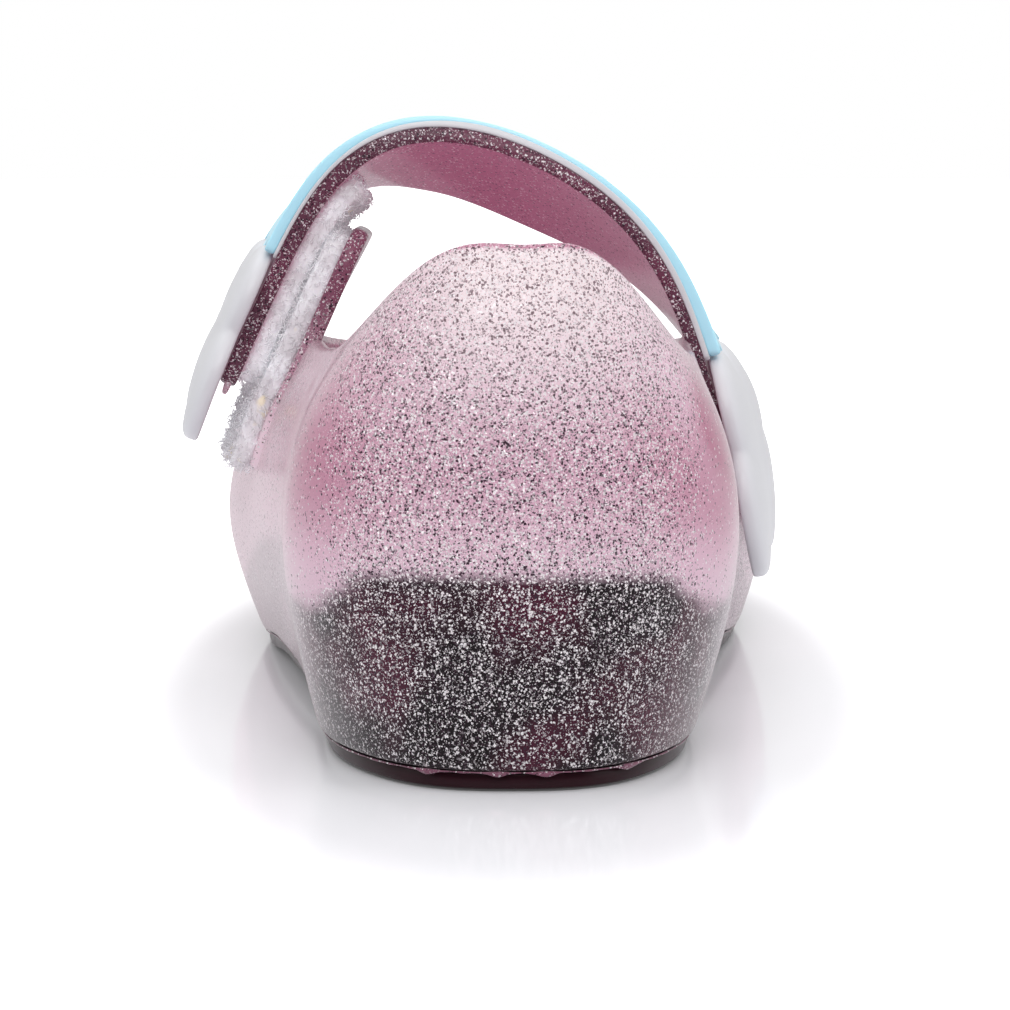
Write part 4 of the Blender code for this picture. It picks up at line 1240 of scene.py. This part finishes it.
def build_tapes():
    tree, sockets = fuzz_tree()
    edges = (TAPE_INSET, STRAP_WIDTH - TAPE_INSET)
    ends = (rounded_end(STRAP.marks["lateral_end"] + TAPE_INSET, 1, *edges, TAPE_CORNER),
            rounded_end(STRAP.marks["lateral_rise"], -1, *edges, TAPE_CORNER))
    hook = Solid()
    depth = STRAP_THICK + GAP + TAPE_THICK + PILE
    add_slab(hook, STRAP, ends, edges, -depth, -STRAP_THICK, PILE_EDGE, PLAIN, PILE_STEPS)
    edges = (TAPE_INSET, TAB_WIDTH - TAPE_INSET)
    ends = (rounded_end(TAB.marks["tab_foot"], 1, *edges, TAPE_CORNER),
            rounded_end(TAB.marks["tab_top"] - TAPE_INSET, -1, *edges, TAPE_CORNER))
    loop = Solid()
    depth = GAP + TAPE_THICK + PILE
    add_slab(loop, TAB, ends, edges, 0.0, depth, PILE_EDGE, PLAIN, PILE_STEPS)
    for solid, name, node, seed in ((hook, "hook_pile", "hook_tape", HOOK_SEED),
                                    (loop, "loop_pile", "loop_tape", LOOP_SEED)):
        made = solid.object(name)
        modifier = made.modifiers.new("fuzz", "NODES")
        modifier.node_group = tree
        modifier[sockets["Fibre material"]] = TAPE
        modifier[sockets["Seed"]] = seed
        finish(made, "fastening_tape", TAPE, node)


build_upper()
build_bands()
build_plates()
build_soles()
build_flash()
build_tapes()


# Floor, light and camera

FLOOR_REACH, FLOOR_DROP = 6.0, 0.0002
# The floor turns white for the camera further out, past an oval; its soft fade is painted shade round the shoe,
# on top of the floor's own lit shading
OVAL_MIDDLE, OVAL_SQUEEZE, OVAL_FADE = -0.020, 0.333, (0.036, 0.056)
FLOOR_GLOW = 0.06
# Softboxes: name, place, what they point at, size, watts
SOFTBOXES = (
    ("top_softbox", (0.0, 0.1, 0.9), (0.0, 0.05, 0.0), (1.0, 1.0), 3.0),
    ("rear_softbox", (0.0, -0.75, 0.75), (0.0, 0.0, 0.03), (0.8, 0.5), 5.3),
    ("left_softbox", (-0.8, -0.2, 0.35), (0.0, 0.03, 0.03), (0.5, 0.7), 0.8),
    ("right_softbox", (0.8, -0.2, 0.35), (0.0, 0.03, 0.03), (0.5, 0.7), 1.2),
)
LENS_PLACE = (-0.0006, -0.338, 0.0614)
LENS_DOWN = 6.07


def build_floor():
    mesh = bpy.data.meshes.new("studio_floor")
    corners = ((-1, -1), (1, -1), (1, 1), (-1, 1))
    mesh.from_pydata([(x * FLOOR_REACH, y * FLOOR_REACH, -FLOOR_DROP) for x, y in corners], [], [(0, 1, 2, 3)])
    floor = bpy.data.objects.new("studio_floor", mesh)
    scene.collection.objects.link(floor)
    made, tree, shader = new_material("glossy_white_floor", Base_Color=(0.90, 0.90, 0.935, 1.0), Roughness=0.10,
                                      Specular_IOR_Level=0.4, Emission_Color=(1.0, 1.0, 1.0, 1.0))
    oval = add_node(tree, "ShaderNodeMapping", {
        "Vector": object_place(tree), "Location": (0.0, OVAL_MIDDLE, 0.0), "Scale": (1.0, OVAL_SQUEEZE, 1.0)})
    away = add_node(tree, "ShaderNodeVectorMath", {0: oval.outputs[0]}, operation="LENGTH")
    glow = map_range(tree, away.outputs["Value"], *OVAL_FADE)
    path = tree.nodes.new("ShaderNodeLightPath")
    glow = math_node(tree, "MULTIPLY", glow, path.outputs["Is Camera Ray"])
    tree.links.new(math_node(tree, "ADD", glow, FLOOR_GLOW), shader.inputs["Emission Strength"])
    mesh.materials.append(made)


def build_world():
    """White for the camera; for all other light brighter ahead of the shoe and above it."""
    world = bpy.data.worlds.new("white_studio")
    world.use_nodes = True
    tree = world.node_tree
    sky = tree.nodes["Background"]
    sky.inputs["Color"].default_value = (1.0, 1.0, 1.0, 1.0)
    way = tree.nodes.new("ShaderNodeTexCoord").outputs["Generated"]
    split = add_node(tree, "ShaderNodeSeparateXYZ", {0: way}).outputs
    ahead = map_range(tree, split["Y"], -0.7, 0.5, 0.15, 0.75)
    above = map_range(tree, split["Z"], 0.2, 0.9, 0.0, 0.25)
    path = tree.nodes.new("ShaderNodeLightPath")
    seen = add_node(tree, "ShaderNodeMix", {
        0: path.outputs["Is Camera Ray"], 2: math_node(tree, "ADD", ahead, above), 3: 1.0})
    tree.links.new(seen.outputs[0], sky.inputs["Strength"])
    scene.world = world


def add_softbox(name, place, aim, size, power):
    light = bpy.data.lights.new(name, "AREA")
    light.shape = "RECTANGLE"
    light.size, light.size_y = size
    light.energy = power
    made = bpy.data.objects.new(name, light)
    made.location = place
    direction = np.array(aim) - np.array(place)
    flat = math.hypot(direction[0], direction[1])
    made.rotation_euler = (math.atan2(flat, -direction[2]), 0.0, math.atan2(-direction[0], direction[1]))
    scene.collection.objects.link(made)


def build_camera():
    camera = bpy.data.cameras.new("rear_view")
    camera.lens = 120.0
    camera.sensor_width = 36.0
    camera.clip_start = 0.01
    camera.clip_end = 50.0
    made = bpy.data.objects.new("rear_view", camera)
    made.location = LENS_PLACE
    made.rotation_euler = (math.radians(90 - LENS_DOWN), 0.0, 0.0)
    scene.collection.objects.link(made)
    scene.camera = made


build_floor()
build_world()
for softbox in SOFTBOXES:
    add_softbox(*softbox)
build_camera()
scene.view_settings.view_transform = "Standard"
